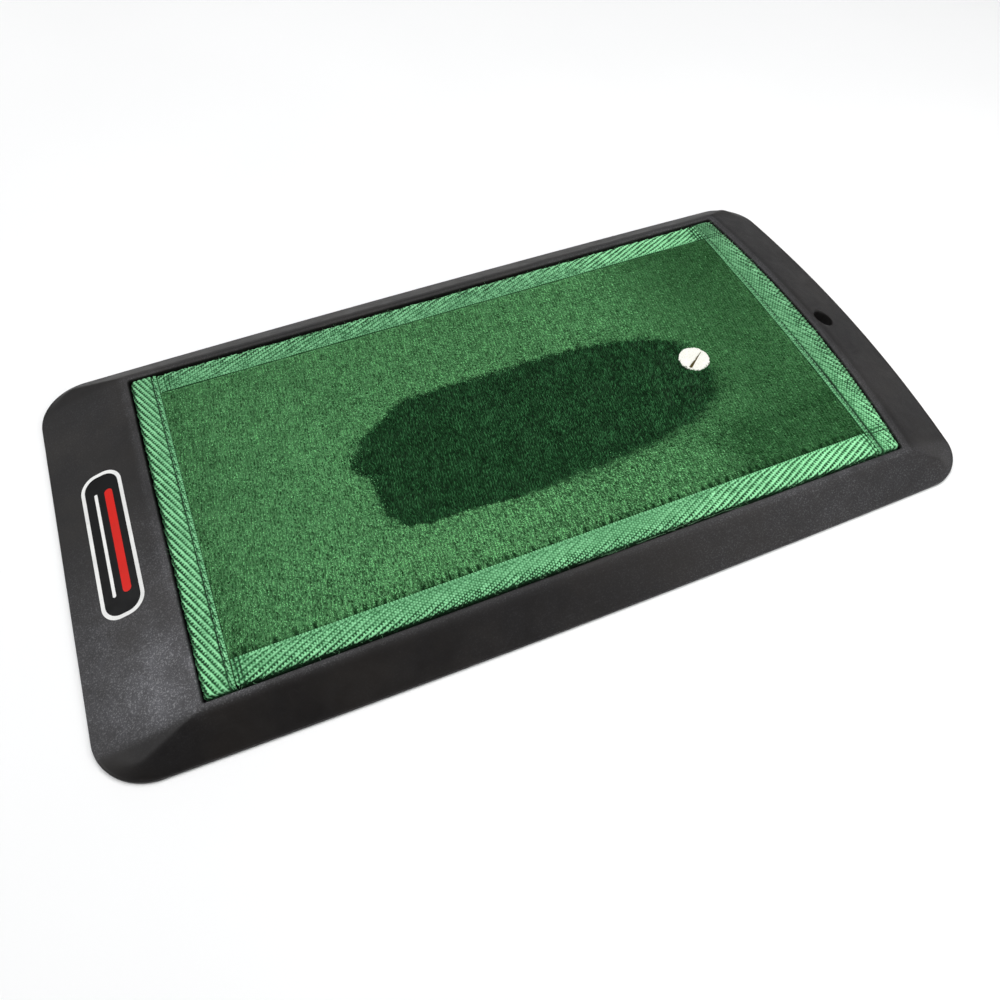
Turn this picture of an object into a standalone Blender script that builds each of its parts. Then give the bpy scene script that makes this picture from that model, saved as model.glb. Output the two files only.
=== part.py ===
"""Golf hitting mat: a moulded rubber tray that holds a bound, replaceable strike pad.

Metres, +Z up. The origin is under the middle of the tray, on the surface that it lies on.
+X runs along the mat to the end with the hanging hole, and +Y runs to its back edge.
The strike pad hangs from the empty "pad_origin" and lifts straight up out of its recess.
"""

import math

import bmesh
import bpy

# Tray
LENGTH = 0.610
WIDTH = 0.318
LIP_HEIGHT = 0.020
RIM_HEIGHT = 0.0025  # the upright edge under the slopes
FLOOR_HEIGHT = 0.007  # top of the recess floor
LEFT_CORNER_RADIUS = 0.0345
RIGHT_CORNER_RADIUS = 0.0275
CORNER_ROLL = 0.007  # the strip inside the rim where the slopes bend down to it
LIP_WIDTH = 0.005
LIP_CORNER_RADIUS = 0.004
RECESS_CORNER_RADIUS = 0.002
TRAY_BOW_RADIUS = 0.960  # the end with the hole is a shallow arc
LONG_SIDE_BOW = 0.0035  # how far the long sides stand out at the middle
LIP_SIDE_BOW = 0.001
HOLE_DIAMETER = 0.016
HOLE_X = 0.2728
HOLE_Y = -0.0015

# Strike pad
PAD_LEFT = -0.2358
PAD_RIGHT = 0.2557  # at the middle of the bowed end
PAD_HALF_WIDTH = 0.1274
PAD_BOW_RADIUS = 0.830
PAD_CORNER_RADIUS = 0.003
PAD_CLEARANCE = 0.0018  # between the pad and the recess wall
TAPE_WIDTH = 0.0182
RIGHT_TAPE_INNER_X = 0.2330  # its inner edge at the middle, a flatter arc than its outer edge
RIGHT_TAPE_INNER_RADIUS = 2.7
TAPE_THICKNESS = 0.0009
TAPE_FOLD_RADIUS = 0.002
CORE_INSET = 0.002  # from the tape's outer edge to the layers inside it
PLATEAU_GAP = 0.0005  # between the tape's inner edge and the standing pile
PILE_TOP = 0.021
PILE_EDGE_THICKNESS = 0.0018  # where the tape presses it flat
FOAM_THICKNESS = 0.0045
BACKING_THICKNESS = 0.0012
THREAD_DIAMETER = 0.0005
THREAD_INSET = 0.0165  # from the tape's outer edge to the seam

# Hook and loop strips
STRIP_WIDTH = 0.025
HOOK_THICKNESS = 0.0015
LOOP_THICKNESS = 0.0013
LONG_STRIP_LENGTH = 0.430
LONG_STRIP_X = 0.004
LONG_STRIP_Y = 0.0945
SHORT_STRIP_LENGTH = 0.150
LEFT_STRIP_X = -0.2025
RIGHT_STRIP_X = 0.2170

# Ball spot and label
SPOT_X = 0.155
SPOT_Y = -0.0045
SPOT_DIAMETER = 0.0228
SPOT_THICKNESS = 0.0007
SPOT_CLEARANCE = 0.0003
LABEL_X = -0.2705
LABEL_Y = 0.003
LABEL_LENGTH = 0.114
LABEL_WIDTH = 0.030
LABEL_CORNER_RADIUS = 0.012
LABEL_THICKNESS = 0.0003

GAP = 0.0003  # between pieces that touch

# Mesh steps
CORNER_STEPS = 10
SIDE_STEPS = 8
FOLD_STEPS = 4
ROUND_STEPS = 64
CUT_MARGIN = 0.005  # how far a cutter runs past the face that it opens

LIP_REACH = PAD_CLEARANCE + LIP_WIDTH  # from the pad to the foot of the lip

# Levels that follow from the thicknesses
HOOK_LOW = FLOOR_HEIGHT + GAP
LOOP_LOW = HOOK_LOW + HOOK_THICKNESS + GAP
BACKING_LOW = LOOP_LOW + LOOP_THICKNESS + GAP
FOAM_LOW = BACKING_LOW + BACKING_THICKNESS + GAP
PILE_LOW = FOAM_LOW + FOAM_THICKNESS + GAP
PILE_EDGE_TOP = PILE_LOW + PILE_EDGE_THICKNESS
TAPE_LOW = BACKING_LOW - GAP - TAPE_THICKNESS
TAPE_TOP = PILE_EDGE_TOP + GAP + TAPE_THICKNESS


def clear_scene():
    for old in list(bpy.data.objects):
        bpy.data.objects.remove(old, do_unlink=True)


def new_collection(name):
    collection = bpy.data.collections.new(name)
    bpy.context.scene.collection.children.link(collection)
    return collection


def new_material(name, colour, roughness, metallic=0.0):
    made = bpy.data.materials.new(name)
    made.use_nodes = True
    shader = made.node_tree.nodes["Principled BSDF"]
    shader.inputs["Base Color"].default_value = (*colour, 1.0)
    shader.inputs["Roughness"].default_value = roughness
    shader.inputs["Metallic"].default_value = metallic
    return made


def put_in(collection, piece):
    for old in list(piece.users_collection):
        old.objects.unlink(piece)
    collection.objects.link(piece)


def finish(piece, material, parent=None):
    """Puts a piece in the mat's collection, with its material and under its parent."""
    put_in(parts, piece)
    piece.data.materials.clear()
    piece.data.materials.append(material)
    piece.parent = parent
    return piece


def as_cutter(piece):
    put_in(cutters, piece)
    piece.hide_render = True
    piece.display_type = "WIRE"
    return piece


def add_boolean(piece, other, operation):
    modifier = piece.modifiers.new(other.name, "BOOLEAN")
    modifier.operation = operation
    modifier.object = other


def bowed_end(middle, radius, y):
    """The x of a bowed end at a distance y from the mat's middle line."""
    return middle - y * y / (2 * radius)


def side_bow(bow, x):
    """How far a bowed long side draws in at x."""
    return bow * (2 * x / LENGTH) ** 2


def outline(left, right, half_width, radii, bow_radius, long_side_bow=0.0):
    """A rounded rectangle with a bowed right-hand end, counter-clockwise; radii are (left, right)."""
    left_radius, right_radius = radii
    corners = [
        (right - right_radius, half_width - right_radius, right_radius),
        (left + left_radius, half_width - left_radius, left_radius),
        (left + left_radius, left_radius - half_width, left_radius),
        (right - right_radius, right_radius - half_width, right_radius),
    ]
    long_steps = SIDE_STEPS if long_side_bow else 1
    side_steps = (long_steps, 1, long_steps, SIDE_STEPS)
    arcs = []
    for corner, (x, y, radius) in enumerate(corners):
        turns = [math.pi / 2 * (corner + step / CORNER_STEPS) for step in range(CORNER_STEPS + 1)]
        arcs.append([(x + radius * math.cos(turn), y + radius * math.sin(turn)) for turn in turns])
    points = []
    for corner, arc in enumerate(arcs):
        points += arc
        (x, y), (next_x, next_y) = arc[-1], arcs[(corner + 1) % 4][0]
        for step in range(1, side_steps[corner]):
            share = step / side_steps[corner]
            points.append((x + (next_x - x) * share, y + (next_y - y) * share))
    bent = []
    for x, y in points:
        if x > 0:
            x += bowed_end(0, bow_radius, y)
        bent.append((x, y - math.copysign(side_bow(long_side_bow, x), y)))
    return bent


def plate(name, points, low, high):
    """A flat outline extruded between two heights, as a mesh."""
    curve = bpy.data.curves.new(name, "CURVE")
    curve.dimensions = "2D"
    curve.fill_mode = "BOTH"
    curve.extrude = (high - low) / 2
    spline = curve.splines.new("POLY")
    spline.points.add(len(points) - 1)
    for point, (x, y) in zip(spline.points, points):
        point.co = (x, y, 0, 1)
    spline.use_cyclic_u = True
    drawn = bpy.data.objects.new(name + "_outline", curve)
    drawn.location.z = (low + high) / 2
    parts.objects.link(drawn)
    bpy.context.view_layer.update()
    mesh = bpy.data.meshes.new_from_object(drawn.evaluated_get(bpy.context.evaluated_depsgraph_get()))
    solid = bmesh.new()
    solid.from_mesh(mesh)
    bmesh.ops.remove_doubles(solid, verts=solid.verts, dist=0.00001)
    solid.to_mesh(mesh)
    solid.free()
    piece = bpy.data.objects.new(name, mesh)
    piece.matrix_world = drawn.matrix_world
    bpy.data.objects.remove(drawn, do_unlink=True)
    return piece


def disc(name, diameter, low, high, x, y):
    bpy.ops.mesh.primitive_cylinder_add(
        vertices=ROUND_STEPS, radius=diameter / 2, depth=high - low, location=(x, y, (low + high) / 2)
    )
    piece = bpy.context.active_object
    piece.name = name
    piece.data.shade_smooth()
    piece.data.set_sharp_from_angle(angle=math.radians(40))
    return piece


def block(name, length, width, low, high, x, y):
    bpy.ops.mesh.primitive_cube_add(size=1, location=(x, y, (low + high) / 2))
    piece = bpy.context.active_object
    piece.name = name
    piece.scale = (length, width, high - low)
    bpy.ops.object.transform_apply(location=False, rotation=False, scale=True)
    return piece


def loft(name, sections):
    """A closed body through rings of points, from the lowest to the highest."""
    solid = bmesh.new()
    rings = [[solid.verts.new(point) for point in section] for section in sections]
    for lower, upper in zip(rings, rings[1:]):
        for i in range(len(lower)):
            j = (i + 1) % len(lower)
            solid.faces.new((lower[i], lower[j], upper[j], upper[i]))
    solid.faces.new(list(reversed(rings[0])))
    solid.faces.new(rings[-1])
    bmesh.ops.triangulate(solid, faces=solid.faces)  # the slopes are slightly twisted
    mesh = bpy.data.meshes.new(name)
    solid.to_mesh(mesh)
    solid.free()
    return bpy.data.objects.new(name, mesh)


def tape_section():
    """The middle line of the folded tape: (inset from its outer edge, height), bottom leg first."""
    half = TAPE_THICKNESS / 2
    radius = TAPE_FOLD_RADIUS - half
    low, high = TAPE_LOW + half, TAPE_TOP - half
    centre = half + radius
    turns = [math.pi / 2 * step / FOLD_STEPS for step in range(FOLD_STEPS + 1)]
    lower = [(centre - radius * math.sin(turn), low + radius - radius * math.cos(turn)) for turn in turns]
    upper = [(centre - radius * math.cos(turn), high - radius + radius * math.sin(turn)) for turn in turns]
    return [(TAPE_WIDTH, low), *lower, *upper, (TAPE_WIDTH, high)]


def tape(name, place, steps):
    """A strip of tape folded round the pad's edge; place(inset, share) gives its x and y."""
    section = tape_section()
    sheet = bmesh.new()
    bmesh.ops.create_grid(sheet, x_segments=len(section) - 1, y_segments=steps, size=0.5)
    for vertex in sheet.verts:
        inset, height = section[round((vertex.co.x + 0.5) * (len(section) - 1))]
        x, y = place(inset, vertex.co.y + 0.5)
        vertex.co = (x, y, height)
    mesh = bpy.data.meshes.new(name)
    sheet.to_mesh(mesh)
    sheet.free()
    piece = bpy.data.objects.new(name, mesh)
    thicken = piece.modifiers.new("thickness", "SOLIDIFY")
    thicken.thickness = TAPE_THICKNESS
    thicken.offset = 0
    thicken.use_even_offset = True
    return piece


def thread(name, points):
    """The seam thread, a fine rod just above the tape."""
    curve = bpy.data.curves.new(name, "CURVE")
    curve.dimensions = "3D"
    curve.bevel_depth = THREAD_DIAMETER / 2
    curve.bevel_resolution = 2
    curve.use_fill_caps = True
    spline = curve.splines.new("POLY")
    spline.points.add(len(points) - 1)
    for point, (x, y) in zip(spline.points, points):
        point.co = (x, y, TAPE_TOP + GAP + THREAD_DIAMETER / 2, 1)
    return bpy.data.objects.new(name, curve)


def left_place(inset, share):
    return PAD_LEFT + inset, PAD_HALF_WIDTH * (1 - 2 * share)


def right_place(inset, share):
    y = PAD_HALF_WIDTH * (2 * share - 1)
    outer = bowed_end(PAD_RIGHT, PAD_BOW_RADIUS, y)
    inner = bowed_end(RIGHT_TAPE_INNER_X, RIGHT_TAPE_INNER_RADIUS, y)
    return outer + (inner - outer) * inset / TAPE_WIDTH, y


def long_place(side):
    """Where the front (-1) or back (+1) tape lies, between the tapes of the two ends."""

    def place(inset, share):
        y = PAD_HALF_WIDTH - inset
        start = PAD_LEFT + TAPE_WIDTH + GAP
        end = bowed_end(RIGHT_TAPE_INNER_X, RIGHT_TAPE_INNER_RADIUS, y) - GAP
        x = start + (end - start) * share
        return (x, side * y) if side < 0 else (start + end - x, side * y)

    return place


def slope_height(x, y):
    """The height of the tray's border: the lowest of its four slopes, which meet in mitres."""
    foot_right = bowed_end(LENGTH / 2, TRAY_BOW_RADIUS, y)
    lip_right = bowed_end(PAD_RIGHT + LIP_REACH, PAD_BOW_RADIUS, y)
    foot_side = WIDTH / 2 - side_bow(LONG_SIDE_BOW, x)
    lip_side = PAD_HALF_WIDTH + LIP_REACH - side_bow(LIP_SIDE_BOW, x)
    shares = (
        (x + LENGTH / 2) / (PAD_LEFT - LIP_REACH + LENGTH / 2),
        (foot_right - x) / (foot_right - lip_right),
        (foot_side - abs(y)) / (foot_side - lip_side),
    )
    return RIM_HEIGHT + (LIP_HEIGHT - RIM_HEIGHT) * min(shares)


def tray_sections():
    """The rings of the tray: its foot, the top of its rim, the slopes just inside, and its lip."""
    radii = (LEFT_CORNER_RADIUS, RIGHT_CORNER_RADIUS)
    foot = outline(-LENGTH / 2, LENGTH / 2, WIDTH / 2, radii, TRAY_BOW_RADIUS, LONG_SIDE_BOW)
    shoulder = outline(
        CORNER_ROLL - LENGTH / 2,
        LENGTH / 2 - CORNER_ROLL,
        WIDTH / 2 - CORNER_ROLL,
        (LEFT_CORNER_RADIUS - CORNER_ROLL, RIGHT_CORNER_RADIUS - CORNER_ROLL),
        TRAY_BOW_RADIUS,
        LONG_SIDE_BOW,
    )
    lip = outline(
        PAD_LEFT - LIP_REACH,
        PAD_RIGHT + LIP_REACH,
        PAD_HALF_WIDTH + LIP_REACH,
        (LIP_CORNER_RADIUS, LIP_CORNER_RADIUS),
        PAD_BOW_RADIUS,
        LIP_SIDE_BOW,
    )
    return [
        [(x, y, 0) for x, y in foot],
        [(x, y, RIM_HEIGHT) for x, y in foot],
        [(x, y, slope_height(x, y)) for x, y in shoulder],
        [(x, y, LIP_HEIGHT) for x, y in lip],
    ]


def make_tray():
    tray = loft("base_tray", tray_sections())
    finish(tray, new_material("tray_rubber", (0.035, 0.034, 0.036), 0.6))
    recess_outline = outline(
        PAD_LEFT - PAD_CLEARANCE,
        PAD_RIGHT + PAD_CLEARANCE,
        PAD_HALF_WIDTH + PAD_CLEARANCE,
        (RECESS_CORNER_RADIUS, RECESS_CORNER_RADIUS),
        PAD_BOW_RADIUS,
    )
    recess = plate("recess_cut", recess_outline, FLOOR_HEIGHT, LIP_HEIGHT + CUT_MARGIN)
    hole = disc("hole_cut", HOLE_DIAMETER, -CUT_MARGIN, LIP_HEIGHT + CUT_MARGIN, HOLE_X, HOLE_Y)
    for cut in (recess, hole):
        add_boolean(tray, as_cutter(cut), "DIFFERENCE")


def make_label():
    """A thin transfer lying on the slope of the left border."""
    rise = LIP_HEIGHT - RIM_HEIGHT
    run = PAD_LEFT - LIP_REACH + LENGTH / 2
    angle = math.atan2(rise, run)
    half_length, half_width = LABEL_LENGTH / 2, LABEL_WIDTH / 2
    inner_length, inner_width = half_length - LABEL_CORNER_RADIUS, half_width - LABEL_CORNER_RADIUS
    points = []
    for corner, (x, y) in enumerate(((1, 1), (-1, 1), (-1, -1), (1, -1))):
        for step in range(CORNER_STEPS + 1):
            turn = math.pi / 2 * (corner + step / CORNER_STEPS)
            points.append(
                (
                    x * inner_width + LABEL_CORNER_RADIUS * math.cos(turn),
                    y * inner_length + LABEL_CORNER_RADIUS * math.sin(turn),
                )
            )
    label = plate("label_decal", points, 0, LABEL_THICKNESS)
    finish(label, new_material("label_ink", (0.02, 0.02, 0.02), 0.45))
    surface = RIM_HEIGHT + (LABEL_X + LENGTH / 2) * math.tan(angle)
    label.location = (LABEL_X, LABEL_Y, surface + (GAP + LABEL_THICKNESS / 2) / math.cos(angle))
    label.rotation_euler = (0, -angle, 0)


def make_strips():
    """Hook strips on the recess floor and the loop strips of the pad above them."""
    hook = new_material("hook_tape", (0.012, 0.012, 0.013), 0.85)
    loop = new_material("loop_tape", (0.02, 0.02, 0.021), 0.95)
    places = {
        "front": (LONG_STRIP_LENGTH, STRIP_WIDTH, LONG_STRIP_X, -LONG_STRIP_Y),
        "back": (LONG_STRIP_LENGTH, STRIP_WIDTH, LONG_STRIP_X, LONG_STRIP_Y),
        "left": (STRIP_WIDTH, SHORT_STRIP_LENGTH, LEFT_STRIP_X, 0),
        "right": (STRIP_WIDTH, SHORT_STRIP_LENGTH, RIGHT_STRIP_X, 0),
    }
    for side, (length, width, x, y) in places.items():
        hook_top = HOOK_LOW + HOOK_THICKNESS
        finish(block("hook_strip_" + side, length, width, HOOK_LOW, hook_top, x, y), hook)
        loop_top = LOOP_LOW + LOOP_THICKNESS
        finish(block("loop_strip_" + side, length, width, LOOP_LOW, loop_top, x, y), loop, pad)


def core_outline():
    """The outline of the layers that the tapes wrap."""
    return outline(
        PAD_LEFT + CORE_INSET,
        PAD_RIGHT - CORE_INSET,
        PAD_HALF_WIDTH - CORE_INSET,
        (PAD_CORNER_RADIUS, PAD_CORNER_RADIUS),
        PAD_BOW_RADIUS,
    )


def plateau_outline():
    """The outline of the standing pile, inside the four tapes."""
    return outline(
        PAD_LEFT + TAPE_WIDTH + PLATEAU_GAP,
        RIGHT_TAPE_INNER_X - PLATEAU_GAP,
        PAD_HALF_WIDTH - TAPE_WIDTH - PLATEAU_GAP,
        (PAD_CORNER_RADIUS, PAD_CORNER_RADIUS),
        RIGHT_TAPE_INNER_RADIUS,
    )


def make_pad_layers():
    inside = core_outline()
    backing = plate("pad_backing", inside, BACKING_LOW, BACKING_LOW + BACKING_THICKNESS)
    finish(backing, new_material("backing_sheet", (0.03, 0.03, 0.032), 0.9), pad)
    foam = plate("foam_core", inside, FOAM_LOW, FOAM_LOW + FOAM_THICKNESS)
    finish(foam, new_material("foam", (0.06, 0.06, 0.065), 0.95), pad)
    face = plate("pile_face", inside, PILE_LOW, PILE_EDGE_TOP)
    finish(face, new_material("velour", (0.035, 0.16, 0.055), 0.95), pad)
    plateau = plate("standing_pile", plateau_outline(), PILE_EDGE_TOP - GAP, PILE_TOP)
    add_boolean(face, as_cutter(plateau), "UNION")
    pocket_low = PILE_TOP - SPOT_THICKNESS - GAP
    pocket_width = SPOT_DIAMETER + 2 * SPOT_CLEARANCE
    pocket = disc("spot_cut", pocket_width, pocket_low, PILE_TOP + CUT_MARGIN, SPOT_X, SPOT_Y)
    add_boolean(face, as_cutter(pocket), "DIFFERENCE")
    spot = disc("ball_spot", SPOT_DIAMETER, PILE_TOP - SPOT_THICKNESS, PILE_TOP, SPOT_X, SPOT_Y)
    finish(spot, new_material("spot_white", (0.82, 0.82, 0.78), 0.6), pad)


def make_binding():
    """Four folded tapes and their seam threads."""
    webbing = new_material("binding_tape", (0.09, 0.36, 0.15), 0.8)
    seam = new_material("seam_thread", (0.08, 0.33, 0.14), 0.7)
    sides = {
        "left": (left_place, 1),
        "right": (right_place, SIDE_STEPS),
        "front": (long_place(-1), 1),
        "back": (long_place(1), 1),
    }
    for side, (place, steps) in sides.items():
        finish(tape("tape_" + side, place, steps), webbing, pad)
        points = [place(THREAD_INSET, share / steps) for share in range(steps + 1)]
        finish(thread("stitch_" + side, points), seam, pad)


clear_scene()
parts = new_collection("golf_hitting_mat")
cutters = new_collection("cutters")
pad = bpy.data.objects.new("pad_origin", None)
parts.objects.link(pad)
make_tray()
make_label()
make_strips()
make_pad_layers()
make_binding()
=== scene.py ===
"""Golf hitting mat: the looks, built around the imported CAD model.

Lengths are in millimetres in the CAD's own frame, and turn into metres where a mesh is made. The
tray's pieces ride on the body "tray", and the strike pad's pieces on the body "pad".
"""

import math

import bmesh
import bpy
import numpy as np
from mathutils import Matrix, Vector


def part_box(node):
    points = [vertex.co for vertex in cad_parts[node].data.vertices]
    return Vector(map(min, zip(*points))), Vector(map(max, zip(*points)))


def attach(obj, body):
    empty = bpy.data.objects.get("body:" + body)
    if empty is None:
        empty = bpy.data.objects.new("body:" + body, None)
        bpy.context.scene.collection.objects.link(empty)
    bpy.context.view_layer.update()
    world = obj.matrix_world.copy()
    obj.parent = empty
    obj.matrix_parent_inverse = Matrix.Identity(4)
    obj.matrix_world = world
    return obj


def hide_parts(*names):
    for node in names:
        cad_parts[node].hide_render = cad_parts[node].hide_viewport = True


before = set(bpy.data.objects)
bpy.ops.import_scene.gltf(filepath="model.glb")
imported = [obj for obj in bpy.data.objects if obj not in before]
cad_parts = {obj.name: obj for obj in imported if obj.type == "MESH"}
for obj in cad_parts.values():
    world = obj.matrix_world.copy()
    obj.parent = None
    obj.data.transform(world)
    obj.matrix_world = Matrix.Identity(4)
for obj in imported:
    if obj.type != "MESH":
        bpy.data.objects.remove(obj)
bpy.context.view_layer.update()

MM = 0.001


def box(node):
    """The lowest and highest corners of a CAD node, in millimetres."""
    low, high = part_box(node)
    return np.array(low) / MM, np.array(high) / MM


# ---------------- sizes that the CAD gives
tray_low, tray_high = box("base_tray")
LENGTH = tray_high[0] - tray_low[0]
WIDTH = tray_high[1] - tray_low[1]
LIP_HEIGHT = tray_high[2]
FLOOR_HEIGHT = box("hook_strip_left")[0][2] - 0.3
PAD_LEFT = box("tape_left")[0][0]
PAD_RIGHT = box("tape_right")[1][0]
PAD_HALF_WIDTH = box("tape_front")[0][1] * -1
TAPE_INNER_LEFT = box("tape_left")[1][0]
TAPE_WIDTH = TAPE_INNER_LEFT - PAD_LEFT
TAPE_LOW, TAPE_TOP = box("tape_left")[0][2], box("tape_left")[1][2]
PILE_LOW, PILE_TOP = box("pile_face")[0][2], box("pile_face")[1][2]
FOAM_LOW, FOAM_HIGH = box("foam_core")[0][2], box("foam_core")[1][2]
spot_low, spot_high = box("ball_spot")
SPOT_X, SPOT_Y = (spot_low[0] + spot_high[0]) / 2, (spot_low[1] + spot_high[1]) / 2
SPOT_RADIUS = (spot_high[0] - spot_low[0]) / 2
label_low, label_high = box("label_decal")
LABEL_X, LABEL_Y = (label_low[0] + label_high[0]) / 2, (label_low[1] + label_high[1]) / 2
LABEL_WIDTH, LABEL_LENGTH = label_high[0] - label_low[0], label_high[1] - label_low[1]

# ---------------- sizes repeated from part.py
RIM_HEIGHT = 2.5
CORNER_RADII = (34.5, 27.5)
TRAY_BOW_RADIUS = 960.0
LONG_SIDE_BOW = 3.5
LIP_SIDE_BOW = 1.0
LIP_REACH = 6.8
LIP_CORNER_RADII = (4.0, 4.0)
CLEARANCE = 1.8
CORE_INSET = 2.0
RECESS_CORNER_RADII = (2.0, 2.0)
PAD_BOW_RADIUS = 830.0
RIGHT_TAPE_INNER_X = 233.0
RIGHT_TAPE_INNER_RADIUS = 2700.0
HOLE_X, HOLE_Y, HOLE_RADIUS = 272.8, -1.5, 8.0


# ---------------- noise and small helpers
def lattice(ix, iy, seed):
    """A repeatable number from 0 to 1 for each whole-number place."""
    mixed = (ix * 374761393 + iy * 668265263 + seed * 1274126177) & 0xFFFFFFFF
    mixed = ((mixed ^ (mixed >> 13)) * 1274126177) & 0xFFFFFFFF
    return ((mixed ^ (mixed >> 16)) & 0xFFFFFFFF) / 0xFFFFFFFF


def noise(x, y, size, seed=0):
    """Smooth noise from -1 to 1 with bumps about size across."""
    x, y = np.asarray(x, float) / size, np.asarray(y, float) / size
    ix, iy = np.floor(x).astype(np.int64), np.floor(y).astype(np.int64)
    fx, fy = x - ix, y - iy
    fx, fy = fx * fx * (3 - 2 * fx), fy * fy * (3 - 2 * fy)
    low = lattice(ix, iy, seed) * (1 - fx) + lattice(ix + 1, iy, seed) * fx
    high = lattice(ix, iy + 1, seed) * (1 - fx) + lattice(ix + 1, iy + 1, seed) * fx
    return 2 * (low * (1 - fy) + high * fy) - 1


def rough_noise(x, y, size, seed=0):
    """Three sizes of smooth noise together."""
    fine = noise(x, y, size / 2.1, seed + 1) / 2 + noise(x, y, size / 4.3, seed + 2) / 4
    return (noise(x, y, size, seed) + fine) / 1.75


def ramp(low, high, value):
    """0 at low, 1 at high, and a smooth rise between them."""
    share = np.clip((np.asarray(value, float) - low) / (high - low), 0, 1)
    return share * share * (3 - 2 * share)


def hump(*terms):
    """A bell from 0 to 1 over terms of (value, middle, spread)."""
    return np.exp(-sum(((value - middle) / spread) ** 2 for value, middle, spread in zip(*[iter(terms)] * 3)))


def wave(turns):
    """From 1 down to 0 and back over each whole turn."""
    return 0.5 + 0.5 * np.cos(2 * math.pi * turns)


def unit(vectors):
    """The vectors, each brought to a length of 1."""
    return vectors / np.linalg.norm(vectors, axis=-1, keepdims=True)


def soft_min(a, b, reach):
    """The lower of two values, rounded off where they are within reach of each other."""
    return np.minimum(a, b) - np.maximum(reach - np.abs(a - b), 0) ** 2 / (4 * reach)


def mesh(name, points, faces, materials, body, smooth=True):
    """A new piece from points in millimetres, riding on a body."""
    data = bpy.data.meshes.new(name)
    data.from_pydata((np.asarray(points, float) * MM).tolist(), [], faces)
    data.validate()
    for material in materials:
        data.materials.append(material)
    piece = bpy.data.objects.new(name, data)
    bpy.context.scene.collection.objects.link(piece)
    if smooth:
        data.shade_smooth()
    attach(piece, body)
    return piece


def attribute(piece, name, values):
    """Keeps one number for each point, which a material reads."""
    kept = piece.data.attributes.new(name, "FLOAT", "POINT")
    kept.data.foreach_set("value", np.asarray(values, np.float32))


def face_outwards(piece):
    """Turns a closed mesh's faces outwards."""
    solid = bmesh.new()
    solid.from_mesh(piece.data)
    bmesh.ops.recalc_face_normals(solid, faces=solid.faces)
    solid.to_mesh(piece.data)
    solid.free()


def grid_faces(rows, columns, closed=False, start=0):
    """Quads over a grid of points stored row by row; closed joins the last column to the first."""
    index = start + np.arange(rows * columns).reshape(rows, columns)
    if closed:
        index = np.concatenate([index, index[:, :1]], axis=1)
    corners = (index[:-1, :-1], index[:-1, 1:], index[1:, 1:], index[1:, :-1])
    return np.stack(corners, -1).reshape(-1, 4).tolist()


def tube_faces(rows, columns, start=0, turned=False):
    """Faces of a closed tube of points stored ring by ring; turned turns its two end faces over."""
    first = list(range(start, start + columns))
    last = list(range(start + (rows - 1) * columns, start + rows * columns))
    ends = [first, last[::-1]] if turned else [first[::-1], last]
    return grid_faces(rows, columns, closed=True, start=start) + ends


def boundary(rows, columns):
    """The border points of a grid, counter-clockwise."""
    index = np.arange(rows * columns).reshape(rows, columns)
    return np.concatenate([index[0, :-1], index[:-1, -1], index[-1, :0:-1], index[:0:-1, 0]])


def sheet_faces(rows, columns, start=0):
    """Faces of a closed sheet: an upper grid of points, a lower one turned over, and their borders joined."""
    count = rows * columns
    border = boundary(rows, columns) + start
    after = np.roll(border, -1)
    lower = [face[::-1] for face in grid_faces(rows, columns, start=start + count)]
    sides = np.stack([border + count, after + count, after, border], -1).tolist()
    return grid_faces(rows, columns, start=start) + lower + sides


def bowed_end(middle, radius, y):
    """The x of an end that is bowed outwards, at a place y across it."""
    return middle - np.asarray(y) ** 2 / (2 * radius)


def side_bow(bow, x):
    """How far a bowed long side has drawn in at a place x along it."""
    return bow * (2 * x / LENGTH) ** 2


def outline(left, right, half_width, radii, bow_radius, bow=0.0, steps=(34, 230, 110)):
    """A rounded rectangle with a bowed right end, counter-clockwise, the same points each time."""
    corner_steps, long_steps, short_steps = steps
    left_radius, right_radius = radii
    corners = (
        (right - right_radius, half_width - right_radius, right_radius),
        (left + left_radius, half_width - left_radius, left_radius),
        (left + left_radius, left_radius - half_width, left_radius),
        (right - right_radius, right_radius - half_width, right_radius),
    )

    def bowed(points):
        return np.stack([bowed_end(points[:, 0], bow_radius, points[:, 1]), points[:, 1]], 1)

    arcs = []
    for corner, (x, y, radius) in enumerate(corners):
        turns = math.pi / 2 * (corner + np.arange(corner_steps + 1) / corner_steps)
        arc = np.stack([x + radius * np.cos(turns), y + radius * np.sin(turns)], 1)
        arcs.append(bowed(arc) if x > 0 else arc)
    points = []
    for corner, arc in enumerate(arcs):
        count = (long_steps, short_steps)[corner % 2]
        shares = np.arange(1, count)[:, None] / count
        side = arc[-1] + (arcs[(corner + 1) % 4][0] - arc[-1]) * shares
        if corner == 3:
            side = bowed(side + (right - side[:, :1]) * (1, 0))
        points += [arc, side]
    x, y = np.concatenate(points).T
    return np.stack([x, y * (1 - side_bow(bow, x) / half_width)], 1)


# ---------------- materials
def rgb(r, g, b):
    """A colour from its 0 to 255 screen values."""
    return tuple(
        (c / 255 / 12.92 if c / 255 <= 0.04045 else ((c / 255 + 0.055) / 1.055) ** 2.4) for c in (r, g, b)
    ) + (1.0,)


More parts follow.
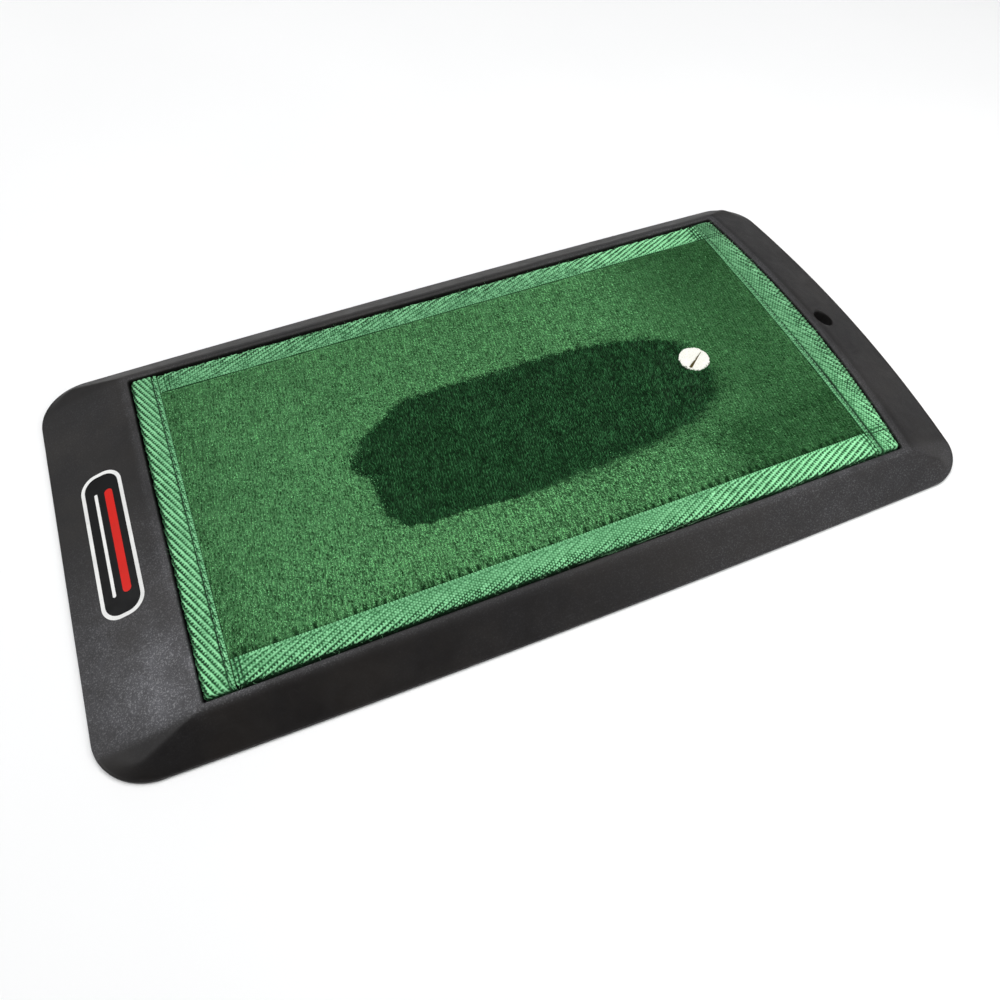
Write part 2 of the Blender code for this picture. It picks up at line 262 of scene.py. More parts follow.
class Nodes:
    """Short names for the nodes of one procedural material."""

    def __init__(self, name, **shader_values):
        self.material = bpy.data.materials.new(name)
        self.material.use_nodes = True
        self.tree = self.material.node_tree
        self.shader = self.tree.nodes["Principled BSDF"]
        for socket, value in shader_values.items():
            self.shader.inputs[socket.replace("_", " ")].default_value = value
        self.coords = self.tree.nodes.new("ShaderNodeTexCoord").outputs["Object"]

    def link(self, source, socket):
        if isinstance(source, (int, float, tuple)):
            socket.default_value = source
        else:
            self.tree.links.new(source, socket)

    def add(self, kind, output, sockets, **settings):
        """A new node with its sockets set or linked; gives one of its outputs."""
        node = self.tree.nodes.new("ShaderNode" + kind)
        for name, value in settings.items():
            setattr(node, name, value)
        for socket, source in sockets.items():
            self.link(source, node.inputs[socket])
        return node.outputs[output]

    def noise(self, scale, detail=3.0, roughness=0.5, stretch=(1.0, 1.0, 1.0), distortion=0.0):
        place = self.add("Mapping", "Vector", {"Scale": stretch, "Vector": self.coords})
        sockets = {"Scale": scale, "Detail": detail, "Roughness": roughness, "Distortion": distortion}
        return self.add("TexNoise", "Fac", sockets | {"Vector": place})

    def kept(self, name):
        return self.add("Attribute", "Fac", {}, attribute_name=name)

    def math(self, operation, a, b):
        return self.add("Math", 0, {0: a, 1: b}, operation=operation)

    def spread(self, value, low, high, to_low=0.0, to_high=1.0):
        sockets = {"Value": value, "From Min": low, "From Max": high, "To Min": to_low, "To Max": to_high}
        return self.add("MapRange", "Result", sockets, interpolation_type="SMOOTHSTEP")

    def mix(self, share, a, b):
        return self.add("Mix", 2, {0: share, 6: a, 7: b}, data_type="RGBA")

    def colour(self, source):
        self.link(source, self.shader.inputs["Base Color"])

    def roughness(self, source):
        self.link(source, self.shader.inputs["Roughness"])

    def bump(self, height, strength, distance):
        sockets = {"Height": height, "Strength": strength, "Distance": distance}
        self.link(self.add("Bump", "Normal", sockets), self.shader.inputs["Normal"])


def rubber_material():
    """Moulded black rubber: faint mottling, a grey film that is dust in part and painted highlight,
    reflection and shade in part, fine specks and scratches.
    """
    made = Nodes("moulded_rubber", Specular_IOR_Level=0.25)
    cloud = made.noise(18, 4, 0.6)
    patches = made.noise(55, 5, 0.7, distortion=0.6)
    specks = made.noise(1500, 3, 0.7)
    base = made.mix(made.spread(cloud, 0.35, 0.68), rgb(20, 18, 18), rgb(30, 27, 25))
    # the grey film read per point: dust in part, and painted highlight, reflection and shade in part
    film_and_light = made.math("MULTIPLY", made.kept("film_and_light"), made.spread(patches, 0.28, 0.72, 0.35, 1.0))
    dust_and_light_colour = made.mix(film_and_light, base, rgb(92, 92, 96))
    dust = made.noise(950, 3, 0.8)
    grain = made.math("MULTIPLY", made.spread(dust, 0.50, 0.66, 0.0, 1.0), film_and_light)
    speckled = made.mix(grain, dust_and_light_colour, rgb(150, 150, 152))
    scratch = made.noise(70, 4, 0.65, stretch=(1.0, 0.16, 1.0), distortion=1.6)
    worn = made.math("MULTIPLY", made.spread(scratch, 0.66, 0.72), made.spread(cloud, 0.45, 0.6, 0.0, 0.4))
    made.colour(made.mix(worn, speckled, rgb(84, 82, 83)))
    rough = made.spread(patches, 0.3, 0.7, 0.50, 0.62)
    made.roughness(made.math("ADD", rough, made.math("MULTIPLY", film_and_light, 0.12)))
    height = made.math("ADD", made.math("MULTIPLY", specks, 0.35), made.math("MULTIPLY", patches, 0.6))
    made.bump(height, 0.5, 0.0004)
    return made.material


def print_material(name, ink, worn, wear):
    """Printed ink with small worn flecks."""
    made = Nodes(name, Specular_IOR_Level=0.12)
    flecks = made.spread(made.noise(420, 4, 0.7), 0.60, 0.70, 0.0, wear)
    tint = made.spread(made.noise(60, 3), 0.3, 0.7, 0.0, 0.25)
    made.colour(made.mix(flecks, made.mix(tint, ink, worn), worn))
    made.roughness(made.spread(made.noise(120, 3), 0.3, 0.7, 0.35, 0.55))
    made.bump(made.noise(1400, 2), 0.25, 0.0002)
    return made.material


def pile_ground_material():
    """The ground between the tufts: painted shade in its pits and painted light on its bumps, from its
    relief.
    """
    look = {"Roughness": 0.9, "Specular_IOR_Level": 0.1, "Sheen_Weight": 0.15, "Sheen_Roughness": 0.5}
    made = Nodes("pile_ground", Sheen_Tint=rgb(150, 205, 150), **look)
    fine = made.noise(1300, 3, 0.6, stretch=(1.0, 0.55, 1.0))
    # painted shade in the pits and painted light on the bumps
    lit = made.mix(made.spread(made.kept("relief"), 0.1, 0.9), rgb(22, 66, 30), rgb(76, 134, 84))
    lit = made.mix(made.spread(fine, 0.35, 0.75, 0.0, 0.7), lit, rgb(112, 166, 112))
    # the brushed patch's ground is painted darker, as painted shade for the shade deep in its upright nap
    dim = made.mix(made.spread(made.kept("relief"), 0.1, 0.9), rgb(4, 28, 9), rgb(18, 56, 26))
    dim = made.mix(made.spread(fine, 0.4, 0.8, 0.0, 0.6), dim, rgb(34, 78, 42))
    made.colour(made.mix(made.kept("tone"), dim, lit))
    made.bump(fine, 0.7, 0.0006)
    return made.material


def webbing_material():
    """Twill webbing: painted shade in the holes between its yarns, painted light on top of them, painted
    highlights on lifted strands, mottled dye, and a tone that paints light per point.
    """
    look = {"Specular_IOR_Level": 0.25, "Sheen_Weight": 0.15, "Sheen_Roughness": 0.4}
    made = Nodes("twill_webbing", Sheen_Tint=rgb(190, 240, 200), **look)
    relief = made.kept("relief")
    # painted light and shade from the relief: dark in the holes, light on the yarns
    yarn = made.mix(made.spread(relief, 0.45, 1.0), rgb(50, 114, 66), rgb(150, 230, 168))
    yarn = made.mix(made.spread(relief, 0.08, 0.55, 1.0, 0.0), yarn, rgb(3, 34, 11))
    dye = made.noise(45, 4, 0.6)
    yarn = made.mix(made.spread(dye, 0.3, 0.7, 0.0, 0.25), yarn, rgb(60, 124, 78))
    strands = made.noise(1100, 3, 0.7)
    # painted highlights on strands lifted from the cords
    lifted_highlight = made.math("MULTIPLY", made.spread(strands, 0.52, 0.74), made.spread(relief, 0.4, 0.9, 0.0, 0.8))
    dyed_and_lit = made.mix(lifted_highlight, yarn, rgb(194, 250, 206))
    # the tone read per point is painted light, brighter towards the front and the right
    made.colour(made.add("HueSaturation", "Color", {"Color": dyed_and_lit, "Value": made.kept("tone")}))
    made.roughness(made.spread(strands, 0.2, 0.8, 0.6, 0.85))
    made.bump(strands, 0.5, 0.0003)
    return made.material


def cloth_material(name, dark, light, scale, distance, roughness=0.9):
    """A plain fibrous surface, for thread, felt, hook tape and the like."""
    made = Nodes(name, Specular_IOR_Level=0.2, Sheen_Weight=0.1)
    fibres = made.noise(scale, 4, 0.65)
    broad = made.noise(scale / 14, 3)
    light_areas = made.spread(broad, 0.3, 0.7, 0.0, 0.25)
    share = made.math("ADD", made.spread(fibres, 0.3, 0.7, 0.0, 0.75), light_areas)
    made.colour(made.mix(share, dark, light))
    made.roughness(made.spread(fibres, 0.2, 0.8, roughness - 0.12, min(1.0, roughness + 0.08)))
    made.bump(fibres, 0.6, distance)
    return made.material


def foam_material():
    """Closed-cell foam."""
    made = Nodes("foam_cells", Specular_IOR_Level=0.2, Roughness=0.9)
    cells = made.add("TexVoronoi", "Distance", {"Scale": 900, "Vector": made.coords})
    made.colour(made.mix(made.spread(cells, 0.1, 0.6), rgb(58, 58, 62), rgb(82, 82, 86)))
    made.bump(cells, 0.6, 0.0005)
    return made.material


RUBBER = rubber_material()
WEBBING = webbing_material()
THREAD = cloth_material("seam_thread", rgb(70, 136, 86), rgb(140, 205, 155), 3000, 0.0002, 0.6)
FELT = cloth_material("white_felt", rgb(222, 221, 208), rgb(250, 250, 244), 1600, 0.0004)
SLIT = cloth_material("slit_shadow", rgb(44, 38, 10), rgb(84, 72, 28), 1500, 0.0002)
HOOK = cloth_material("hook_tape", rgb(20, 20, 22), rgb(46, 46, 50), 1800, 0.0004, 0.6)
LOOP = cloth_material("loop_tape", rgb(28, 28, 30), rgb(62, 62, 66), 1500, 0.0006)
BACKING = cloth_material("non_woven", rgb(34, 34, 36), rgb(58, 58, 62), 700, 0.0004)
LINT = cloth_material("lint", rgb(96, 168, 112), rgb(176, 226, 180), 2500, 0.0001)

# ---------------- the tray
LIP_LEFT = PAD_LEFT - LIP_REACH
LIP_RIGHT = PAD_RIGHT + LIP_REACH
LIP_HALF_WIDTH = PAD_HALF_WIDTH + LIP_REACH
RISE = LIP_HEIGHT - RIM_HEIGHT


def slope_height(x, y):
    """The border's height: the lowest of four slopes, meeting in mitres that are softer lower down."""
    foot_right = bowed_end(LENGTH / 2, TRAY_BOW_RADIUS, y)
    lip_right = bowed_end(LIP_RIGHT, PAD_BOW_RADIUS, y)
    foot_side = WIDTH / 2 - side_bow(LONG_SIDE_BOW, x)
    lip_side = LIP_HALF_WIDTH - side_bow(LIP_SIDE_BOW, x)
    left = RIM_HEIGHT + RISE * (x + LENGTH / 2) / (LIP_LEFT + LENGTH / 2)
    right = RIM_HEIGHT + RISE * (foot_right - x) / (foot_right - lip_right)
    side = RIM_HEIGHT + RISE * (foot_side - np.abs(y)) / (foot_side - lip_side)
    end = np.minimum(left, right)
    softness = 0.5 + 3.0 * np.clip((LIP_HEIGHT - np.minimum(end, side)) / RISE, 0, 1)
    return soft_min(soft_min(end, side, softness), LIP_HEIGHT, 2.6)


def tray_waves(x, y):
    """The moulding's slight waviness, flat where the label is printed."""
    from_label = np.maximum(np.abs(x - LABEL_X) / 30, np.abs(y - LABEL_Y) / 72)
    return (0.10 * rough_noise(x, y, 46, 3) + 0.035 * noise(x, y, 9, 8)) * ramp(0.85, 1.2, from_label)


def make_tray():
    """The whole moulding as rings of points: up the border, over the lip and down into the recess."""
    foot = outline(-LENGTH / 2, LENGTH / 2, WIDTH / 2, CORNER_RADII, TRAY_BOW_RADIUS, LONG_SIDE_BOW)
    lip = outline(LIP_LEFT, LIP_RIGHT, LIP_HALF_WIDTH, LIP_CORNER_RADII, PAD_BOW_RADIUS, LIP_SIDE_BOW)
    left, right, half_width = PAD_LEFT - CLEARANCE, PAD_RIGHT + CLEARANCE, PAD_HALF_WIDTH + CLEARANCE
    recess = outline(left, right, half_width, RECESS_CORNER_RADII, PAD_BOW_RADIUS)
    count = len(foot)
    run = np.linalg.norm(lip - foot, axis=1)
    inward, across = unit(lip - foot), recess - lip
    rings = []

    def ring(places, height):
        rings.append(np.column_stack([places, np.broadcast_to(height, count)]))

    for inset, height in ((0.7, 0), (0.15, 0.15), (0, 0.6), (0, RIM_HEIGHT - 0.7), (0.15, RIM_HEIGHT - 0.2)):
        ring(foot + inward * inset, height)
    excess = slope_height(*foot.T) - RIM_HEIGHT
    distances = [np.full(count, near) for near in (0.45, 0.8, 1.2, 1.7, 2.4, 3.4)]
    distances += [4.6 + (run - 4.6) * share for share in np.linspace(0, 1, 34)]
    for distance in distances:
        x, y = places = (foot + inward * distance[:, None]).T
        at_rim = (1 - ramp(-4, 13, distance)) / (1 - ramp(-4, 13, 0.0))
        bead = 0.22 * np.exp(-(((distance - 0.8) / 0.55) ** 2))
        ring(places.T, slope_height(x, y) - excess * at_rim + bead + tray_waves(x, y) * ramp(2, 9, distance))
    lip_top = LIP_HEIGHT - 0.02 + 0.08 * rough_noise(*lip.T, 40, 5)
    for share, drop in ((0.25, 0), (0.5, 0), (0.72, 0.03), (0.84, 0.16), (0.94, 0.5), (0.99, 1.1)):
        ring(lip + across * share, lip_top - drop)
    for height in (LIP_HEIGHT - 2.5, 14.0, 10.0, FLOOR_HEIGHT + 0.8, FLOOR_HEIGHT + 0.2):
        ring(recess, height)
    ring(recess + unit(across) * 0.5, FLOOR_HEIGHT)
    points = np.concatenate(rings)
    tray = mesh("tray_body", points, tube_faces(len(rings), count), [RUBBER], "tray")
    attribute(tray, "film_and_light", dust_and_painted_light(*points.T))

    face_outwards(tray)
    for cut in hole_cutters():
        cutter = tray.modifiers.new("hole", "BOOLEAN")
        cutter.operation = "DIFFERENCE"
        cutter.solver = "MANIFOLD"
        cutter.object = cut
        bpy.context.view_layer.objects.active = tray
        bpy.ops.object.modifier_apply(modifier="hole")
        bpy.data.objects.remove(cut, do_unlink=True)
    tray.data.set_sharp_from_angle(angle=math.radians(50))
    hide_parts("base_tray")


def dust_and_painted_light(x, y, z):
    """How much grey film the rubber gets, from 0 to 1: dust and scuffing, most of all at the front left
    corner, mixed with painted highlights, a painted reflection and painted shade.
    """
    # dust and a painted highlight at the front left corner
    film_and_light = 0.80 * hump(x, -256, 27, y, -107, 25)
    # painted reflection on the front slope, lighter to the right
    film_and_light += 0.14 * ramp(-40, 180, x) * ramp(-126, -132, y)
    # painted highlight, with dust, over the front half of the left slope
    film_and_light += 0.33 * ramp(-60, -250, x) * ramp(30, -80, y) * ramp(-137, -128, y)
    # painted highlight along the lip, stronger to the right
    lip = ramp(1.2, 0.2, LIP_HEIGHT - z) * ramp(12, 18, z)
    film_and_light += 0.18 * lip * (0.35 + 0.65 * ramp(10, 120, x) + 0.5 * ramp(-170, -220, x))
    film_and_light += 0.05 + 0.06 * rough_noise(x, y, 60, 21)
    # painted shade: less film on the left part of the front slope and on the back slope
    film_and_light *= 1 - 0.8 * ramp(20, -200, x) * ramp(-131, -137, y) - 0.9 * ramp(130, 136, y)
    # painted highlight on the rim wall, where light from the floor falls on it
    film_and_light += 0.22 * ramp(RIM_HEIGHT + 0.4, RIM_HEIGHT - 0.2, z)
    return np.clip(film_and_light, 0, 1)


def hole_cutters():
    """A round hole with a slightly rounded mouth that follows the slope."""
    surface = float(slope_height(HOLE_X, HOLE_Y))
    east = float(slope_height(HOLE_X + 1, HOLE_Y)) - surface
    turn = Vector((0, 0, 1)).rotation_difference(Vector((-east, 0, 1)).normalized()).to_matrix().to_4x4()
    bore = (0, -30), (0, 30)
    mouth = (0.05, -1.6), (0.2, -0.8), (0.55, -0.25), (2.0, 0.5)
    made = []
    for profile, height, tilt in ((bore, 0, Matrix.Identity(4)), (mouth, surface, turn)):
        data = bpy.data.meshes.new("cut")
        points = [
            ((HOLE_RADIUS + wider) * math.cos(t), (HOLE_RADIUS + wider) * math.sin(t), z)
            for wider, z in profile
            for t in np.arange(96) / 96 * 2 * math.pi
        ]
        data.from_pydata([tuple(map(float, p)) for p in points], [], tube_faces(len(profile), 96))
        data.transform(Matrix.Scale(MM, 4) @ Matrix.Translation((HOLE_X, HOLE_Y, height)) @ tilt)
        made.append(bpy.data.objects.new("cut", data))
        bpy.context.scene.collection.objects.link(made[-1])
    return made


# ---------------- the printed label
def oblong(length, width, radius, shift=0.0, steps=10):
    """A rounded oblong on the label, lying along Y, as a ring of points."""
    points = []
    for corner, (x, y) in enumerate(((1, 1), (-1, 1), (-1, -1), (1, -1))):
        turns = math.pi / 2 * (corner + np.arange(steps + 1) / steps)
        across = x * (width / 2 - radius) + radius * np.cos(turns)
        along = y * (length / 2 - radius) + radius * np.sin(turns)
        points.append(np.stack([across + shift + LABEL_X, along + LABEL_Y], 1))
    return np.concatenate(points)


def make_label():
    """A plain badge on the left slope: a black oblong edged with white, with two stripes along it."""
    white, black, red = range(3)
    shapes = (
        (oblong(LABEL_LENGTH, LABEL_WIDTH, 12.0), 0.05, white),
        (oblong(LABEL_LENGTH - 5.2, LABEL_WIDTH - 5.2, 9.6), 0.12, black),
        (oblong(82.0, 5.6, 2.7, 4.2), 0.19, red),
        (oblong(82.0, 2.2, 1.0, -4.6), 0.19, white),
    )
    points, faces, slots = [], [], []
    for ring, top, ink in shapes:
        x, y = ring.T
        surface = slope_height(x, y) + tray_waves(x, y) + top
        faces += tube_faces(2, len(ring), len(points))
        points += [*zip(x, y, surface - 0.04), *zip(x, y, surface)]
        slots += [ink] * (len(ring) + 2)
    inks = [
        print_material("ink_white", rgb(232, 232, 230), rgb(170, 170, 170), 0.35),
        print_material("ink_black", rgb(9, 9, 10), rgb(24, 24, 25), 0.3),
        print_material("ink_red", rgb(206, 30, 22), rgb(170, 46, 38), 0.3),
    ]
    label = mesh("label_print", points, faces, inks, "tray", smooth=False)
    label.data.polygons.foreach_set("material_index", slots)
    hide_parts("label_decal")


# ---------------- hook and loop strips
def make_strip(side, kind, material, body, seed):
    """A strip with raised edges and a nubbly face, in the place of its CAD block."""
    node = f"{kind}_strip_{side}"
    low, high = box(node)
    columns, rows = ((high - low)[:2] / 1.1).astype(int) + 1
    x, y = np.meshgrid(np.linspace(low[0], high[0], columns), np.linspace(low[1], high[1], rows))
    edge = np.minimum(np.minimum(x - low[0], high[0] - x), np.minimum(y - low[1], high[1] - y))
    nubs = 0.5 + 0.5 * noise(x, y, 1.2, seed)
    depth = 0.35 * ramp(0.0, 2.0, edge) * (1 - nubs) + 0.25 * (edge < 0.1)
    hooks = kind == "hook"  # the hooks face up, and the loops face down
    top = high[2] - depth * hooks
    bottom = low[2] + depth * (not hooks)
    points = np.concatenate([np.stack([x, y, z], -1).reshape(-1, 3) for z in (top, bottom)])
    strip = mesh(f"{kind}_tape_{side}", points, sheet_faces(rows, columns), [material], body)
    strip.data.set_sharp_from_angle(angle=math.radians(60))
    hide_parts(node)


# ---------------- the strike pad's layers
def make_foam():
    """The foam core: a slab with rounded edges."""
    inset = (PAD_LEFT + CORE_INSET, PAD_RIGHT - CORE_INSET, PAD_HALF_WIDTH - CORE_INSET)
    places = outline(*inset, (3.0, 3.0), PAD_BOW_RADIUS, steps=(6, 60, 40))
    inward = unit(places.mean(0) - places)
    rounding = 1.2
    curve = ((0.0, 1.0), (0.3, 0.3), (1.0, 0.0))
    rings = [(FOAM_LOW + drop * rounding, share * rounding) for drop, share in curve]
    rings += [(FOAM_HIGH - drop * rounding, share * rounding) for drop, share in reversed(curve)]
    points = [np.column_stack([places + inward * inset, np.full(len(places), z)]) for z, inset in rings]
    faces = tube_faces(len(rings), len(places))
    foam = mesh("pad_foam", np.concatenate(points), faces, [foam_material()], "pad")
    foam.data.set_sharp_from_angle(angle=math.radians(60))
    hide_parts("foam_core")
    return foam


# The brushed patch is square at its left end and round at its right end.
PATCH_X, PATCH_Y = 30.0, -13.0
PATCH_HALF_LENGTH, PATCH_HALF_WIDTH, PATCH_CORNER = 130.5, 51.5, 26.0
NAP_TURN = math.radians(82)  # the knitted columns run a little off the Y axis
COLUMN = 2.06
ROW = 1.57
NOTCH_PITCH = 6.2  # the front stitches pull the pile down at this spacing
GROUND_HEIGHT = PILE_TOP - 1.55  # the middle of the knitted ground's relief
PLATEAU_LEFT = TAPE_INNER_LEFT + 0.4
PLATEAU_HALF = PAD_HALF_WIDTH - TAPE_WIDTH - 0.4


def plateau_right(y):
    return bowed_end(RIGHT_TAPE_INNER_X - 0.4, RIGHT_TAPE_INNER_RADIUS, y)


def patch_depth(x, y):
    """How far inside the brushed patch a place is, in millimetres; it is below zero outside."""
    from_x, from_y = np.abs(x - PATCH_X), np.abs(y - PATCH_Y)
    past_x, past_y = from_x - (PATCH_HALF_LENGTH - PATCH_CORNER), from_y - (PATCH_HALF_WIDTH - PATCH_CORNER)
    outside = np.hypot(np.maximum(past_x, 0), np.maximum(past_y, 0))
    outside = outside + np.minimum(np.maximum(past_x, past_y), 0)
    along, across = from_x / PATCH_HALF_LENGTH, from_y / PATCH_HALF_WIDTH
    shape = (along**2.6 + across**2.6) ** (1 / 2.6)
    reach = np.minimum(PATCH_HALF_WIDTH / np.maximum(across, 0.2), PATCH_HALF_LENGTH / np.maximum(along, 0.2))
    depth = np.where(x > PATCH_X, (1 - shape) * np.minimum(reach, 60), PATCH_CORNER - outside)
    ragged = 1.8 * ramp(-55, -95, x) * noise(x, y * 0.8, 8, 40) + 1.3 * noise(x, y, 4.2, 41)
    tongue = 10 * hump(x, -106, 9, y, -5, 10)
    belly = 3.5 * hump(x, -2, 42) * ramp(-30, -55, y)
    cut = -((x + 99) * -0.56 + (y - 13) * 0.83)  # its upper left corner is cut aslant
    return soft_min(depth, cut, 6.0) + ragged + tongue + belly


def patch_fringe(x, y):
    """How much the two kinds of pile mingle: in the patch's tongue and along its lower right edge."""
    return np.maximum(1.6 * ramp(-88, -104, x), ramp(-10, 40, x) * ramp(-8, -30, y))


def patch_share(x, y):
    """1 inside the brushed patch, 0 outside; its lower edge and right end are softer."""
    softness = 0.7 + 4.0 * ramp(-48, -60, y) * ramp(-40, 40, x) + 3.0 * ramp(140, 160, x)
    return ramp(-softness, softness, patch_depth(x, y))


def light_tone(x, y):
    """How bright the unbrushed pile is: flatter to the left and in front, and duller to the right; this tone
    is partly its nap and partly painted light.
    """
    tone = 0.62 + 0.05 * rough_noise(x, y, 55, 50) + 0.05 * rough_noise(x, y, 18, 53)
    tone += 0.14 * hump(x, -105, 75, y, -20, 70)
    tone += 0.12 * hump(x, -60, 55, y, -84, 12)
    tone -= 0.26 * ramp(105, 210, x)
    tone -= 0.12 * ramp(90, 215, x) * ramp(-20, -95, y)
    tone -= 0.10 * ramp(90, 215, x) * ramp(40, 100, y)
    tone -= 0.256 * hump(x, 152, 24) * ramp(-50, -85, y)
    tone -= 0.10 * ramp(-185, -216, x)
    # painted shade in a band just below the patch's lower edge
    tone -= 0.08 * ramp(8, 0, np.abs(y + 72) - 2) * ramp(20, 110, x)
    return tone


def front_notch(x, y):
    """How strongly the front stitches pull the pile down, from 0 to 1; the pile is also painted darker there,
    as painted shade in the dimples.
    """
    cell = np.floor(x / NOTCH_PITCH).astype(int)
    strength = 0.3 + 0.7 * ramp(0.2, 0.6, lattice(cell, 0 * cell, 15))
    across = (x / NOTCH_PITCH % 1 - 0.5) * NOTCH_PITCH + 0.9 * noise(x, y, 5, 16)
    return strength * hump(across, 0, 1.2) * ramp(6.0, 2.2, PLATEAU_HALF + y)


def pile_height(x, y):
    """The knitted ground's height, and how high it stands in its own relief from 0 to 1."""
    along = x * math.cos(NAP_TURN) + y * math.sin(NAP_TURN)
    across = x * math.sin(NAP_TURN) - y * math.cos(NAP_TURN)
    column = wave((across + 0.35 * noise(x, y, 7, 60)) / COLUMN)
    row = wave(along / ROW + 0.5 * np.floor(across / COLUMN))
    grain = 0.5 + 0.5 * noise(x, y * 0.7, 1.15, 61)
    relief = np.clip(0.34 * column + 0.18 * row + 0.48 * grain, 0, 1)
    patch = patch_share(x, y)
    height = GROUND_HEIGHT + (0.55 + 0.25 * patch) * (relief - 0.5) + 0.22 * rough_noise(x, y, 38, 62)
    return height - 0.25 * patch - 0.8 * front_notch(x, y), relief


def make_pile_ground():
    """The pile fabric: pressed flat under the tapes, and a nubbly ground inside them."""
    step = 1.04
    margin = TAPE_WIDTH - CORE_INSET
    shares = np.linspace(0, 1, int((RIGHT_TAPE_INNER_X - PLATEAU_LEFT) / step))
    ys = np.linspace(-PLATEAU_HALF, PLATEAU_HALF, int(2 * PLATEAU_HALF / step))
    ys = np.concatenate([ys[0] - np.array([margin, 3, 0.8]), ys, ys[-1] + np.array([0.8, 3, margin])])
    columns, rows = len(shares) + 6, len(ys)
    x = np.zeros((rows, columns))
    left, right = PLATEAU_LEFT, plateau_right(ys)[:, None]
    x[:, 3:-3] = left + (right - left) * shares
    x[:, :3] = left - np.array([margin, 3, 0.8])
    x[:, -3:] = right + np.array([0.8, 3, margin - 1.2])
    y = np.repeat(ys[:, None], columns, 1)
    height, relief = pile_height(x, y)
    edge = np.minimum(np.minimum(x - left, right - x), PLATEAU_HALF - np.abs(y))
    pressed = PILE_LOW + 1.75
    height = pressed + (height - pressed) * ramp(-0.9, 0.6, edge)
    from_spot = np.hypot(x - SPOT_X, y - SPOT_Y)
    under_spot = PILE_TOP - 2.0 + 0.9 * ramp(SPOT_RADIUS - 1.2, SPOT_RADIUS + 0.9, from_spot)
    points = np.stack([x, y, np.minimum(height, under_spot)], -1).reshape(-1, 3)
    border = boundary(rows, columns)
    lower = len(points) + np.arange(len(border))
    underneath = np.column_stack([points[border][:, :2], np.full(len(border), PILE_LOW)])
    sides = np.stack([lower, np.roll(lower, -1), np.roll(border, -1), border], -1)
    faces = [*grid_faces(rows, columns), *sides.tolist(), lower[::-1].tolist()]
    pile = mesh("pile_velour", np.concatenate([points, underneath]), faces, [pile_ground_material()], "pad")
    tone = (1 - patch_share(x, y)) * np.clip(light_tone(x, y) * 1.35, 0, 1)
    # painted shade in the dimples that the front stitches pull into the pile
    tone = tone * np.clip(1 - 1.3 * front_notch(x, y), 0, 1)
    for name, values in (("relief", relief), ("tone", tone)):
        attribute(pile, name, np.concatenate([values.ravel(), np.zeros(len(border))]))
    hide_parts("pile_face")
    return pile


# ---------------- tufts
def tuft_tones(name, darkest, lightest):
    """Nine materials for tufts, from the darkest to the lightest; each tuft takes the tone of its place."""
    look = {"Roughness": 0.8, "Specular_IOR_Level": 0.12, "Sheen_Weight": 0.06, "Sheen_Roughness": 0.4}
    made = []
    for i in range(9):
        colour = rgb(*(low + (high - low) * i / 8 for low, high in zip(darkest, lightest)))
        tone = Nodes(f"{name}_{i}", Sheen_Tint=rgb(170, 220, 170), Base_Color=colour, **look)
        made.append(tone.material)
    return made


LIGHT_TONES = tuft_tones("tuft_light", (1, 50, 7), (164, 252, 172))
# the brushed patch's tufts are painted darker, as painted shade for the shade deep in its upright nap
DARK_TONES = tuft_tones("tuft_dark", (0, 27, 8), (72, 141, 86))


def tufts(name, x, y, base, lean, length, width, tones, materials):
    """Many small pointed tufts; lean is the way that each one falls, as (x, y) per unit of height."""
    count = len(x)
    draw = np.random.default_rng(len(name) * 7 + count)
    turn = draw.uniform(0, 2 * math.pi, count)
    centre = np.stack([x, y, base], -1)
    rise = length / np.sqrt(1 + (lean**2).sum(1))
    points = np.zeros((count, 4, 3))
    for corner in range(3):
        angle = turn + corner * 2 * math.pi / 3
        around = np.stack([np.cos(angle), np.sin(angle), np.zeros(count)], -1)
        points[:, corner] = centre + around * width[:, None] / 2
    points[:, 3] = centre + np.column_stack([lean, np.ones(count)]) * rise[:, None]
    pattern = np.array([(0, 2, 1), (0, 1, 3), (1, 2, 3), (2, 0, 3)])
    triangles = (np.arange(count)[:, None, None] * 4 + pattern).reshape(-1, 3)
    data = bpy.data.meshes.new(name)
    data.vertices.add(count * 4)
    data.vertices.foreach_set("co", (points * MM).astype(np.float32).ravel())
    data.loops.add(len(triangles) * 3)
    data.loops.foreach_set("vertex_index", triangles.astype(np.int32).ravel())
    data.polygons.add(len(triangles))
    data.polygons.foreach_set("loop_start", np.arange(0, len(triangles) * 3, 3, dtype=np.int32))
    for material in materials:
        data.materials.append(material)
    slots = np.clip(np.round(tones), 0, len(materials) - 1).astype(np.int32)
    data.polygons.foreach_set("material_index", np.repeat(slots, 4))
    data.update(calc_edges=True)
    data.validate()
    data.shade_smooth()
    piece = bpy.data.objects.new(name, data)
    bpy.context.scene.collection.objects.link(piece)
    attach(piece, "pad")
    return piece


